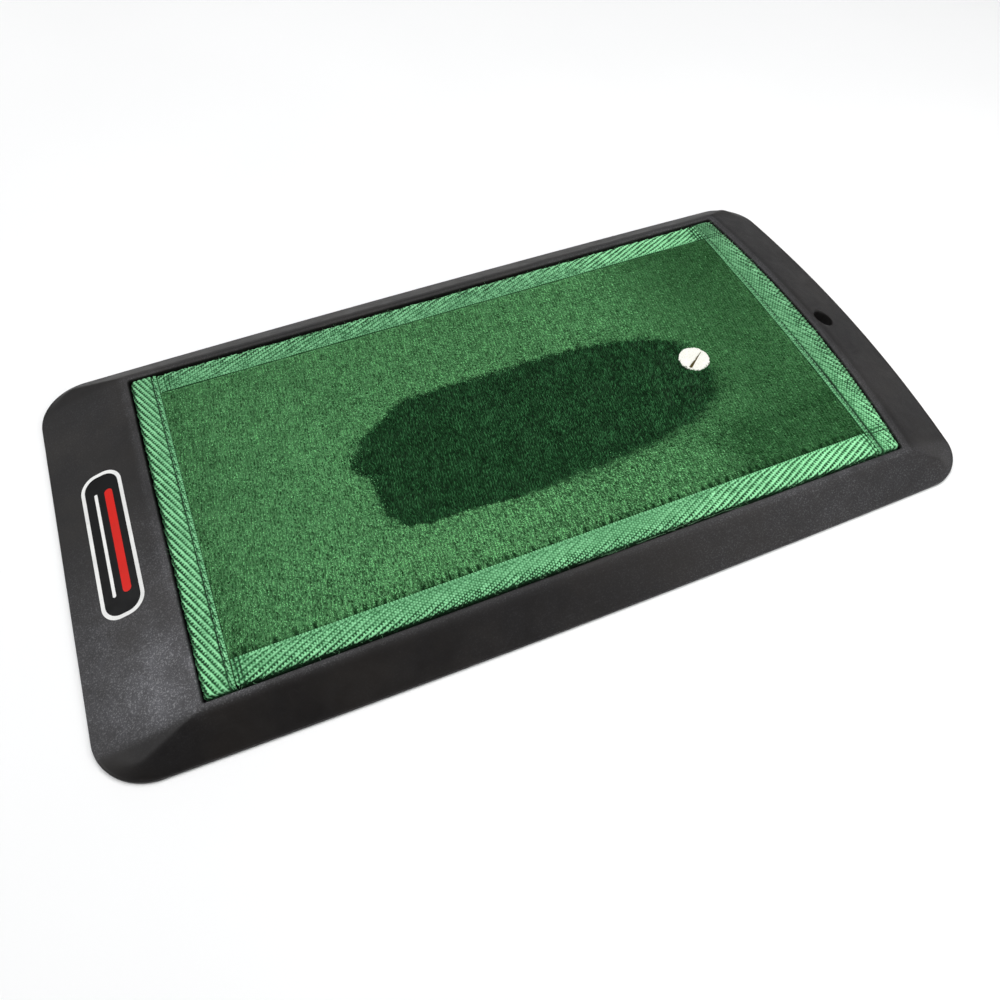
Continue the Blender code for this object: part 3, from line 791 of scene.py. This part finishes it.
def tuft_places(row_step, column_step, seed):
    """Jittered places in knitted columns: x, y, the column, and two random shares of the clump."""
    draw = np.random.default_rng(seed)
    span = 270
    along, across = np.meshgrid(np.arange(-span, span, row_step), np.arange(-span, span, column_step))
    index = np.round(across / column_step).astype(int)
    along = along + (index % 2) * row_step / 2 + draw.normal(0, row_step * 0.22, along.shape)
    clump = np.floor(along / 1.3 + 0.5 * (index % 2)).astype(int)
    across = across + draw.normal(0, 0.12, across.shape) + (index % 2 * 2 - 1) * 0.2
    x = across * math.sin(NAP_TURN) + along * math.cos(NAP_TURN)
    y = along * math.sin(NAP_TURN) - across * math.cos(NAP_TURN)
    cell = np.floor(across / 1.25).astype(int)
    bunch = np.floor(along / 1.6 + 0.5 * (cell % 2)).astype(int)
    shade = 0.3 * lattice(clump, index, seed) + 0.7 * lattice(bunch, cell, seed + 90)
    places = np.stack([x, y, index, shade, lattice(clump, index, seed + 50)]).reshape(5, -1)
    x, y = places[:2]
    inside = (x > PLATEAU_LEFT + 0.3) & (x < plateau_right(y) - 0.3) & (np.abs(y) < PLATEAU_HALF - 0.2)
    above_spot = ramp(0, 8, y - SPOT_Y + 0.5 * (x - SPOT_X))
    inside &= np.hypot(x - SPOT_X, y - SPOT_Y) > SPOT_RADIUS - 0.1 - 0.9 * above_spot
    return places[:, inside]


def mingled_depth(places, draw):
    """Each tuft's depth in the patch, shifted at random so that the two kinds of pile mingle."""
    x, y = places[:2]
    return patch_depth(x, y) + draw.normal(0, 1, len(x)) * (0.9 + 1.9 * patch_fringe(x, y))


def make_combed_nap():
    """The tufts outside the patch, combed towards the front, in a left and a right piece."""
    places = tuft_places(0.80, COLUMN / 2, 11)
    draw = np.random.default_rng(12)
    x, y, column, shade, fall = places[:, mingled_depth(places, draw) < 0.3]
    count = len(x)
    base = pile_height(x, y)[0] - 0.25
    lean_x = 0.2 + 0.25 * noise(x, y, 16, 70) + 0.9 * (fall - 0.5) + draw.normal(0, 0.15, count)
    lean = np.stack([lean_x, -1.6 + draw.normal(0, 0.35, count)], -1)
    length = np.clip(draw.normal(1.75, 0.3, count), 1.0, 2.6)
    width = draw.uniform(0.8, 1.15, count)
    contrast = 1.15 + 0.85 * ramp(-45, -80, y) * ramp(130, 40, x) * ramp(-215, -130, x)
    contrast += 0.25 * ramp(100, 60, x) * ramp(-180, -120, x) - 0.62 * ramp(95, 175, x)
    # painted light and shade: every second half-column is darker, for the shaded side of each column
    spread = draw.normal(0, 2.0, count) - 1.2 * (column % 2 - 0.5) + 7.0 * (shade - 0.5)
    spread += 1.6 * noise(x, y * 0.6, 2.7, 78)
    # painted shade just below the patch's lower edge, on its right part
    below = ramp(-9, 0, patch_depth(x, y)) * ramp(-10, -30, y) * ramp(-30, 40, x)
    # painted shade: darker tufts in the stitch dimples and along the pile's front edge by the tape
    edge = 2.0 * front_notch(x, y) + 0.5 * ramp(2.6, 1.0, PLATEAU_HALF + y)
    bright = ramp(-50, -75, y) * ramp(20, -40, x) * ramp(-190, -120, x)
    tones = 4.5 + 0.72 * bright + 0.55 * (light_tone(x, y) * 9 - 6.0) - 2.2 * below - 3.4 * edge
    tones += contrast * spread * (1 - 0.7 * np.clip(edge, 0, 1))
    left = x < np.median(x)
    return [
        tufts(name, *(values[half] for values in (x, y, base, lean, length, width, tones)), LIGHT_TONES)
        for name, half in (("pile_nap_left", left), ("pile_nap_right", ~left))
    ]


def make_brushed_nap():
    """The longer tufts inside the patch, brushed back and tousled."""
    places = tuft_places(0.72, COLUMN / 2.3, 13)
    draw = np.random.default_rng(14)
    x, y, _, shade, fall = places[:, mingled_depth(places, draw) > -0.5]
    count = len(x)
    base = pile_height(x, y)[0] - 0.25
    swirl_x = 0.9 * noise(x, y, 9, 72) + 0.6 * noise(x, y, 4, 73) + 1.0 * (fall - 0.5)
    swirl_y = 0.9 * noise(x, y, 9, 74) + 0.6 * noise(x, y, 4, 75)
    tousle = 0.55 + 0.6 * ramp(95, 150, x) + 0.35 * ramp(-60, -105, x)
    lean_x = tousle * swirl_x + draw.normal(0, 0.3, count)
    lean = np.stack([lean_x, 0.75 + tousle * swirl_y + draw.normal(0, 0.35, count)], -1)
    length = np.clip(draw.normal(2.15, 0.4, count) + 0.4 * ramp(95, 150, x), 1.2, 3.4)
    width = draw.uniform(0.6, 1.0, count)
    tones = 3.7 + draw.normal(0, 1.7, count) + 6.0 * (shade - 0.5) + 0.8 * noise(x, y, 5, 79)
    tones += 0.6 * rough_noise(x, y, 24, 77) + 1.6 * ramp(60, 110, x) * noise(x * 1.5, y * 0.6, 2.4, 76)
    # painted shade along the patch's top edge; darker also towards its left end
    tones -= 0.7 * ramp(20, 38, y) + 0.3 * ramp(-80, -105, x)
    return tufts("pile_brushed", x, y, base, lean, length, width, tones, DARK_TONES)


# ---------------- the binding tapes
RIB_TURN = math.radians(25.6)
RIB, PICK = 3.45, 2.02
FOLD = 3.6  # radius of the tape's fold at the top
BOTTOM_FOLD = 2.4
CLOTH = 1.0  # thickness of the cloth under its relief
END_ROUND = 2.2  # radius of the tape's corners at its ends
SEAM_INSET = 15.5
TAPE_FACE = TAPE_TOP - 0.35  # height of the tape's face without its relief
MIDDLE = 0.62  # the weave's relief that lies on the tape's face


def weave(u, w, bold):
    """The twill's relief from 0 to 1, from places along (u) and across (w) the tape.

    Cords run aslant, with a line of small pits between them, and short yarns bridge the pits. Where the
    tape is less bold its yarns stand up one by one and the cords fade.
    """
    across = (w * math.cos(RIB_TURN) - u * math.sin(RIB_TURN)) / RIB
    along = (w * math.sin(RIB_TURN) + u * math.cos(RIB_TURN)) / PICK
    place = across - np.floor(across)
    line = hump(np.minimum(place, 1 - place), 0, 0.16)
    lower = ramp(0.50, 0.64, place) * ramp(1.04, 0.84, place)
    ticks = wave(along + 0.15)
    yarns = noise(across * 2.6, along, 0.55, 95)
    cords = 0.98 - line * (0.36 + 0.64 * wave(along)) - lower * (0.12 + 0.42 * ticks)
    cords = cords - 0.10 * (1 - line) * ticks
    half = np.floor(2 * across)
    ridge = np.sin(math.pi * (2 * across - half)) ** 0.6
    grain = 0.36 + 0.62 * wave(along + 0.5 * half) ** 0.8 * ridge - 0.14 * line
    return np.clip(cords * bold + grain * (1 - bold) + 0.13 * yarns, 0, 1)


def tape_profile(width, step):
    """The tape's outer line: (inset from its outer edge, height, distance travelled, outward x, z)."""
    flat, drop = width - FOLD, TAPE_FACE - FOLD - TAPE_LOW - BOTTOM_FOLD
    side = flat + FOLD * math.pi / 2
    under = side + drop + BOTTOM_FOLD * math.pi / 2
    rows = [(width - share * flat, TAPE_FACE, share * flat, 0, 1) for share in shares_of(int(flat / step))]
    for share in shares_of(int(FOLD * math.pi / 2 / step))[1:]:
        sine, cosine = math.sin(share * math.pi / 2), math.cos(share * math.pi / 2)
        travelled = flat + FOLD * math.pi / 2 * share
        rows.append((FOLD * (1 - sine), TAPE_FACE - FOLD * (1 - cosine), travelled, -sine, cosine))
    for share in shares_of(3)[1:]:
        rows.append((0, TAPE_FACE - FOLD - drop * share, side + drop * share, -1, 0))
    for share in shares_of(4)[1:]:
        sine, cosine = math.sin(share * math.pi / 2), math.cos(share * math.pi / 2)
        travelled = side + drop + BOTTOM_FOLD * math.pi / 2 * share
        height = TAPE_LOW + BOTTOM_FOLD * (1 - sine)
        rows.append((BOTTOM_FOLD * (1 - cosine), height, travelled, -cosine, -sine))
    for inset in (8.0, width):
        rows.append((inset, TAPE_LOW, under + inset - BOTTOM_FOLD, 0, -1))
    return np.array(rows, float)


def shares_of(count):
    """The shares from 0 to 1 that cut a whole into equal parts."""
    return np.arange(count + 1) / count


def lining(width):
    """The tape's inner line, from the bottom leg back to the top one."""
    low, high = TAPE_LOW + CLOTH, TAPE_FACE - CLOTH
    bottom = [(width, low), (4.0, low), (CLOTH + 1.2, low + 0.6), (CLOTH, low + 2.2)]
    return bottom + [(CLOTH, high - 2.8), (CLOTH + 0.9, high - 0.9), (CLOTH + 2.8, high), (width, high)]


def end_panel(place, end_u, way, first):
    """The tucked cloth that closes a tape's end at a corner of the pad: its points, faces and relief."""
    insets = np.linspace(1.3, TAPE_WIDTH, 46)
    heights = np.linspace(TAPE_LOW + 0.6, TAPE_TOP - 1.6, 34)
    inset, z = np.meshgrid(insets, heights)
    pattern = weave(inset + 0.3 * noise(inset, z, 5, 86), z, 0.6)
    bulge = 0.35 * np.sin((z - heights[0]) / (heights[-1] - heights[0]) * math.pi)
    outer_u = end_u + way * (0.75 - bulge - 0.35 * (pattern - MIDDLE))
    inner_u = np.full_like(outer_u, end_u + way * 1.5)
    points = [np.stack([*place(inset, u), z], -1).reshape(-1, 3) for u in (outer_u, inner_u)]
    relief = np.concatenate([pattern.ravel(), np.full(z.size, 0.5)])
    return np.concatenate(points), sheet_faces(*z.shape, start=first), relief


def tape_pattern(side, u, w, travelled, sense, bold, rough):
    """The tape's relief: skewed towards its inner edge and over its fold, rougher where it is worn, with
    painted shade over its fold.
    """
    drift = 0.6 * noise(u, w, 30, 80) + 0.25 * noise(u, w, 9, 81)
    inner, outer = np.clip(travelled, 0, 5), np.clip(travelled - 13.5, 0, 6)
    bend = -sense * (1.64 * (inner - inner**2 / 10) + 0.10 * outer**2)
    strength = bold(u) + 0.15 * ramp(11, 16, travelled) + 0.15 * noise(u, w, 22, 84)
    pattern = weave(u + drift + bend, w + 0.3 * drift, np.clip(strength, 0, 1))
    pattern = pattern + rough * noise(u, w, 1.5, 87) + 0.5 * rough * noise(u, w, 5, 88)
    edge = ramp(9, 15, travelled)
    calm = (0.30 + 0.78 * np.clip(bold(u) * 1.4 + 1.2 * rough, 0, 1)) * (1 - edge) + 1.9 * edge
    darkness, begins, ends = FOLD_SHADES[side]
    return np.clip(0.66 + (pattern - MIDDLE) * calm - darkness * ramp(begins, ends, travelled), 0, 1)


def make_tape(side, place, start, end, sense, seam_depth, puckers, bold, tone, belly, rough):
    """A strip of twill folded round one edge of the pad.

    place(inset, u) gives x and y. u runs along the tape, and sense says which way w, the direction
    across it, grows: +1 towards the outer edge. puckers lists the junctions as (u, strength).
    """
    step = 0.43
    profile, inner = tape_profile(TAPE_WIDTH, step), lining(TAPE_WIDTH)
    us = np.linspace(start, end, int((end - start) / step))
    count, outer_ring, ring = len(us), len(profile), len(profile) + len(inner)
    inset, height, travelled, out_x, out_z = profile.T[:, None]
    u = us[:, None] + 0 * travelled
    w = 0 * u + sense * (PAD_HALF_WIDTH - TAPE_WIDTH + travelled)
    pattern = tape_pattern(side, u, w, travelled, sense, bold, rough)
    selvage = ramp(1.3, 0.5, travelled)
    depth = seam_depth(u)
    seam = depth * (0.75 + 0.35 * noise(u, w, 6, 89))
    seam = seam * hump(travelled, TAPE_WIDTH - SEAM_INSET + 0.15 * depth, 0.35 + 0.15 * depth)
    beads = wave(u / 1.9)
    top = ramp(TAPE_WIDTH + 4, TAPE_WIDTH - 2, travelled)
    crumple = 0 * u
    for where, strength in puckers:
        folds = np.cos(2 * math.pi * (u - where) / 2.7 + 0.5 * noise(u, w, 6, 83))
        crumple = crumple + strength * hump(u, where, 3.4) * folds
    relief = np.zeros((count, ring))
    shade = 0.75 * np.clip(-crumple, 0, 1) * top + 0.8 * seam
    relief[:, :outer_ring] = np.clip(pattern * (1 - selvage) + (0.45 + 0.4 * beads) * selvage - shade, 0, 1)
    out = 1.05 * (pattern - MIDDLE) * (1 - selvage) + (0.10 + 0.15 * beads) * selvage - 0.45 * seam
    out = out + 0.35 * np.sin(np.clip(travelled / (TAPE_WIDTH - FOLD), 0, 1) * math.pi) * top
    out = out + 0.25 * noise(u, w * 0.5, 14, 82) * top + 0.45 * crumple * top
    side_out = (out + belly + 0.15 * noise(u, w, 35, 85)) * -out_x
    from_end = np.clip(END_ROUND - np.minimum(us - start, end - us), 0, END_ROUND)[:, None]
    rounding = END_ROUND - np.sqrt(END_ROUND**2 - from_end**2)
    sink = rounding * 0.8
    points = np.zeros((count, ring, 3))
    outer_x, outer_y = place(inset + rounding * (1 - inset / TAPE_WIDTH) - side_out, u)
    points[:, :outer_ring] = np.stack([outer_x, outer_y, height + out * out_z - sink * top], -1)
    inset, height = np.array(inner).T[:, None]
    inner_x, inner_y = place(inset + rounding * (1 - inset / TAPE_WIDTH), us[:, None])
    points[:, outer_ring:] = np.stack([inner_x, inner_y, height - sink * (height > 15)], -1)
    points, relief, tones = points.reshape(-1, 3), relief.ravel(), np.repeat(tone(us), ring)
    faces = tube_faces(count, ring, turned=True)
    if side in ("left", "right"):
        for end_u, way in ((start, 1), (end, -1)):
            panel, panel_faces, panel_relief = end_panel(place, end_u, way, len(points))
            points, relief = np.concatenate([points, panel]), np.concatenate([relief, panel_relief])
            tones = np.concatenate([tones, np.full(len(panel), 0.8)])
            faces += panel_faces
    tape = mesh(f"webbing_{side}", points, faces, [WEBBING], "pad")
    face_outwards(tape)
    tape.data.set_sharp_from_angle(angle=math.radians(80))
    attribute(tape, "relief", relief)
    attribute(tape, "tone", tones)
    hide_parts(f"tape_{side}")
    return tape


def left_place(inset, u):
    return PAD_LEFT + inset + 0 * u, u + 0 * inset


def right_place(inset, u):
    outer = bowed_end(PAD_RIGHT, PAD_BOW_RADIUS, u)
    inner = bowed_end(RIGHT_TAPE_INNER_X, RIGHT_TAPE_INNER_RADIUS, u)
    return outer + (inner - outer) * inset / TAPE_WIDTH, u + 0 * inset


def front_place(inset, u):
    return u + 0 * inset, inset - PAD_HALF_WIDTH + 0 * u


def back_place(inset, u):
    return u + 0 * inset, PAD_HALF_WIDTH - inset + 0 * u


# How dark the painted shade over each tape's fold is, and between which distances from its inner edge.
FOLD_SHADES = {
    "left": (0.55, 15.2, 18),
    "right": (0.2, 15.2, 18),
    "front": (0.9, 16.6, 18.8),
    "back": (0.55, 15.2, 18),
}
ENDS = {"start": -PAD_HALF_WIDTH, "end": PAD_HALF_WIDTH}
SIDES = {
    "start": TAPE_INNER_LEFT + 0.3,
    "end": float(bowed_end(RIGHT_TAPE_INNER_X, RIGHT_TAPE_INNER_RADIUS, 118.0)) + 0.4,
}
# Each tape's tone is painted light and shade: brighter towards the front and the right, and darker at the
# right tape's back end.
TAPES = {
    "left": {
        "place": left_place, **ENDS, "sense": 1, "belly": 0.75, "rough": 0.05, "puckers": (),
        "seam_depth": lambda u: 1.9 + 0 * u,
        "bold": lambda u: 0.62 + 0 * u,
        "tone": lambda u: 0.92 + 0.06 * ramp(0, -110, u) - 0.10 * ramp(20, 110, u),
    },
    "right": {
        "place": right_place, **ENDS, "sense": -1, "belly": 1.7, "rough": 0.13,
        "puckers": ((-110.0, 0.8), (110.0, 0.5)),
        "seam_depth": lambda u: 0.9 + 1.9 * ramp(10, -70, u),
        "bold": lambda u: 0.22 + 0.1 * ramp(-60, -110, u),
        "tone": lambda u: 0.74 + 0.28 * ramp(-20, -110, u) - 0.14 * ramp(90, 115, u),
    },
    "front": {
        "place": front_place, **SIDES, "sense": -1, "belly": 0.1, "rough": 0.10,
        "puckers": ((-213.5, 1.0), (229.0, 1.1)),
        "seam_depth": lambda u: 0.25 + 0 * u,
        "bold": lambda u: 0.10 + 0.8 * ramp(60, 150, u) + 0.35 * ramp(-70, -180, u),
        "tone": lambda u: 0.98 + 0.16 * ramp(60, 170, u),
    },
    "back": {
        "place": back_place, **SIDES, "sense": 1, "belly": 0.6, "rough": 0.18,
        "puckers": ((-211.0, 0.5), (226.5, 1.5)),
        "seam_depth": lambda u: 0.25 + 0 * u,
        "bold": lambda u: 0.30 + 0.6 * ramp(100, 170, u),
        "tone": lambda u: 0.76 + 0.24 * ramp(60, 200, u),
    },
}


def thread(path, radii, across, up, sides, start):
    """Points and faces of a closed thread along a path; start is the number of points before it."""
    turns = (np.arange(sides) / sides * 2 * math.pi)[:, None]
    around = np.cos(turns) * across[:, None] + np.sin(turns) * up[:, None]
    points = path[:, None] + radii[:, None, None] * around
    return points.reshape(-1, 3).tolist(), tube_faces(len(path), sides, start, turned=True)


def make_seam(side, place, start, end):
    """One row of separate stitches, each a short thread that dips into the tape at its ends."""
    pitch, length, radius = 3.3, 2.7, 0.30
    points, faces = [], []
    draw = np.random.default_rng(len(side))
    shares = np.linspace(0, 1, 9)
    for first in np.arange(start + 2.0, end - 4.0, pitch):
        us = first + length * shares + draw.normal(0, 0.05)
        insets = SEAM_INSET + draw.normal(0, 0.07) + (shares - 0.5) * draw.normal(0, 0.1)
        arch = np.sin(shares * math.pi)
        path = np.stack([*place(insets, us), TAPE_TOP - 0.85 + 0.42 * arch], 1)
        along = unit(np.gradient(path, axis=0))
        across = unit(np.cross(along, (0, 0, 1.0)))
        radii = radius * (0.55 + 0.45 * np.abs(arch) ** 0.5)
        stitch, stitch_faces = thread(path, radii, across, np.cross(across, along), 8, len(points))
        points += stitch
        faces += stitch_faces
    seam = mesh(f"seam_{side}", points, faces, [THREAD], "pad")
    face_outwards(seam)
    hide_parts(f"stitch_{side}")


# ---------------- the ball spot
def make_spot():
    """A felt disc with a fuzzy edge and a slit across it."""
    rings, sides = 40, 200
    turns = np.arange(sides) / sides * 2 * math.pi
    ragged = 0.022 * noise(turns * 9, turns * 0, 1.0, 90) + 0.024 * noise(turns * 26, turns * 0, 1.0, 91)
    shares = (np.linspace(0.004, 1, rings) ** 0.85)[:, None]
    radius = shares * (SPOT_RADIUS - 0.15) * (1 + ragged * shares**4)
    x, y = radius * np.cos(turns), radius * np.sin(turns)
    slit_turn = math.radians(35.5)
    along = x * math.cos(slit_turn) + y * math.sin(slit_turn) + 0.2
    across = -x * math.sin(slit_turn) + y * math.cos(slit_turn) + 1.3
    half = 1.5 * np.clip((9.9 - along) / 19, 0.2, 1) * (np.abs(along) < 9.2)
    cut = np.where(half > 0, ramp(half + 0.30, half * 0.5, np.abs(across)), 0)
    height = PILE_TOP - 0.62 - 0.5 * shares**6 + 0.05 * noise(x, y, 1.1, 92) + 0.10 * noise(x, y, 6, 93)
    upper = np.stack([x + SPOT_X, y + SPOT_Y, height - 0.75 * cut], -1).reshape(-1, 3)
    lower = np.column_stack([x[-1] + SPOT_X, y[-1] + SPOT_Y, np.full(sides, PILE_TOP - 1.9)])
    faces = [f[::-1] for f in tube_faces(rings + 1, sides)]
    spot = mesh("spot_felt", np.concatenate([upper, lower]), faces, [FELT, SLIT], "pad")
    face_outwards(spot)
    deep = np.concatenate([cut.ravel(), np.zeros(sides)]) > 0.5
    slots = [int(len(f.vertices) == 4 and deep[list(f.vertices)].all()) for f in spot.data.polygons]
    spot.data.polygons.foreach_set("material_index", slots)
    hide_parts("ball_spot")


# ---------------- loose fibres
def fibres(name, roots, headings, lengths, radius, material, seed):
    """Fine curved fibres; each is a closed thread with three sides."""
    draw = np.random.default_rng(seed)
    rings = 6
    radii = radius * (1 - 0.6 * np.arange(rings) / (rings - 1))
    points, faces = [], []
    for root, heading, length in zip(roots, headings, lengths):
        direction, place = unit(heading), np.array(root, float)
        bend = draw.normal(0, 0.22, 3) * (1, 1, 0.6) * min(1, (3 / length) ** 2)
        path, directions = [], []
        for _ in range(rings):
            path.append(place)
            directions.append(direction)
            place = place + direction * length / (rings - 1)
            direction = unit(direction + bend)
        across = unit(np.cross(directions, (0.3, 0.2, 1.0)))
        up = np.cross(across, directions)
        fibre, fibre_faces = thread(np.array(path), radii, across, up, 3, len(points))
        points += fibre
        faces += fibre_faces
    piece = mesh(name, points, faces, [material], "pad")
    face_outwards(piece)
    return piece


def make_fibres():
    """Fuzz on the outer edges of the tapes, most on the right one, and frayed threads along the front."""
    draw = np.random.default_rng(31)
    roots, headings = [], []
    for side, amount in (("right", 420), ("back", 60), ("front", 120), ("left", 50)):
        least = 0.6 if side == "right" else 0.1
        place, start, end = (TAPES[side][key] for key in ("place", "start", "end"))
        for _ in range(amount):
            u = np.array(draw.uniform(start + 1, end - 1))
            inset = np.array(abs(draw.normal(0, 1.6)) + least)
            x, y = place(inset, u)
            outer_x, outer_y = place(np.array(-1.0), u)
            away = unit(np.array([outer_x - x, outer_y - y, 0.0]))
            drop = FOLD - math.sqrt(FOLD**2 - max(FOLD - inset, 0) ** 2)
            roots.append((x, y, TAPE_TOP - 0.25 - drop))
            along = draw.normal(0, 0.7) * np.array([-away[1], away[0], 0.0])
            headings.append(away + along + np.array([0, 0, draw.uniform(0.0, 0.8)]))
    lengths = list(np.clip(draw.normal(2.0, 0.8, len(roots)), 0.7, 4.5))
    for u in np.linspace(0, 105, 9) + draw.normal(0, 3, 9):
        x, y = front_place(-0.9 + 0.25 * draw.normal(), u)
        roots.append((x, y, LIP_HEIGHT - 0.3 + 0.3 * draw.normal()))
        headings.append(np.array([1.0, 0.02 * draw.normal(), 0.02 * draw.normal()]))
        lengths.append(draw.uniform(10, 19))
    return fibres("loose_fibres", roots, headings, lengths, 0.075, LINT, 32)


# ---------------- everything together
make_tray()
make_label()
for seed, side in enumerate(("front", "back", "left", "right")):
    make_strip(side, "hook", HOOK, "tray", 100 + seed)
    make_strip(side, "loop", LOOP, "pad", 110 + seed)
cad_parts["pad_backing"].material_slots[0].material = BACKING
foam = make_foam()
pile = make_pile_ground()
nap = [*make_combed_nap(), make_brushed_nap()]
tapes = {side: make_tape(side, **values) for side, values in TAPES.items()}
for side, values in TAPES.items():
    make_seam(side, values["place"], values["start"], values["end"])
make_spot()
fuzz = make_fibres()


# ---------------- floor, light and camera
def make_floor():
    floor = bpy.data.objects.new("floor", bpy.data.meshes.new("floor"))
    size = 6.0
    corners = [(-size, -size, 0), (size, -size, 0), (size, size, 0), (-size, size, 0)]
    floor.data.from_pydata(corners, [], [(0, 1, 2, 3)])
    bpy.context.scene.collection.objects.link(floor)
    made = Nodes("pale_floor", Roughness=0.8, Specular_IOR_Level=0.2)
    cloud = made.spread(made.noise(3, 2), 0.3, 0.7)
    made.colour(made.mix(cloud, (0.90, 0.90, 0.90, 1), (0.92, 0.92, 0.92, 1)))
    floor.data.materials.append(made.material)


def soft_light(name, azimuth, elevation, distance, size, radiance, colour=(1, 1, 1)):
    """A square softbox facing the mat; radiance is how bright its face is."""
    data = bpy.data.lights.new(name, "AREA")
    data.size = size
    data.energy = radiance * size * size * math.pi
    data.color = colour
    light = bpy.data.objects.new(name, data)
    a, e = math.radians(azimuth), math.radians(elevation)
    way = Vector((math.cos(a) * math.cos(e), math.sin(a) * math.cos(e), math.sin(e)))
    light.location = way * distance
    light.rotation_euler = way.to_track_quat("Z", "Y").to_euler()
    bpy.context.scene.collection.objects.link(light)


def make_world():
    world = bpy.data.worlds.new("studio")
    world.use_nodes = True
    tree = world.node_tree
    background = tree.nodes["Background"]
    background.inputs["Color"].default_value = (0.96, 0.98, 1.0, 1)
    parts = tree.nodes.new("ShaderNodeSeparateXYZ")
    tree.links.new(tree.nodes.new("ShaderNodeTexCoord").outputs["Generated"], parts.inputs[0])
    glow = tree.nodes.new("ShaderNodeMapRange")
    glow.interpolation_type = "SMOOTHSTEP"
    for name, number in (("From Min", -0.6), ("From Max", 0.8), ("To Min", 0.05), ("To Max", 0.36)):
        glow.inputs[name].default_value = number
    tree.links.new(parts.outputs["Y"], glow.inputs["Value"])
    tree.links.new(glow.outputs["Result"], background.inputs["Strength"])
    bpy.context.scene.world = world


def make_camera():
    data = bpy.data.cameras.new("camera")
    data.sensor_width = 36
    data.lens = 29.574
    data.shift_x = 0.0230
    data.shift_y = 0.0048
    data.clip_start = 0.02
    data.clip_end = 30
    camera = bpy.data.objects.new("camera", data)
    right = Vector((0.92656, -0.37608, 0.00657))
    up = Vector((0.31359, 0.78202, 0.53862))
    back = Vector((-0.2077, -0.497, 0.84253))
    turn = Matrix((right, up, back)).transposed().to_4x4()
    camera.matrix_world = Matrix.Translation((-0.154538, -0.331234, 0.473606)) @ turn
    bpy.context.scene.collection.objects.link(camera)
    bpy.context.scene.camera = camera


make_floor()
make_world()
make_camera()
soft_light("front_right", -42, 38, 0.95, 0.5, 4.4)
soft_light("back_left", 165, 50, 2.5, 1.4, 5.2)
soft_light("above", 45, 66, 2.7, 1.6, 4.5)
bpy.context.scene.view_settings.view_transform = "Standard"
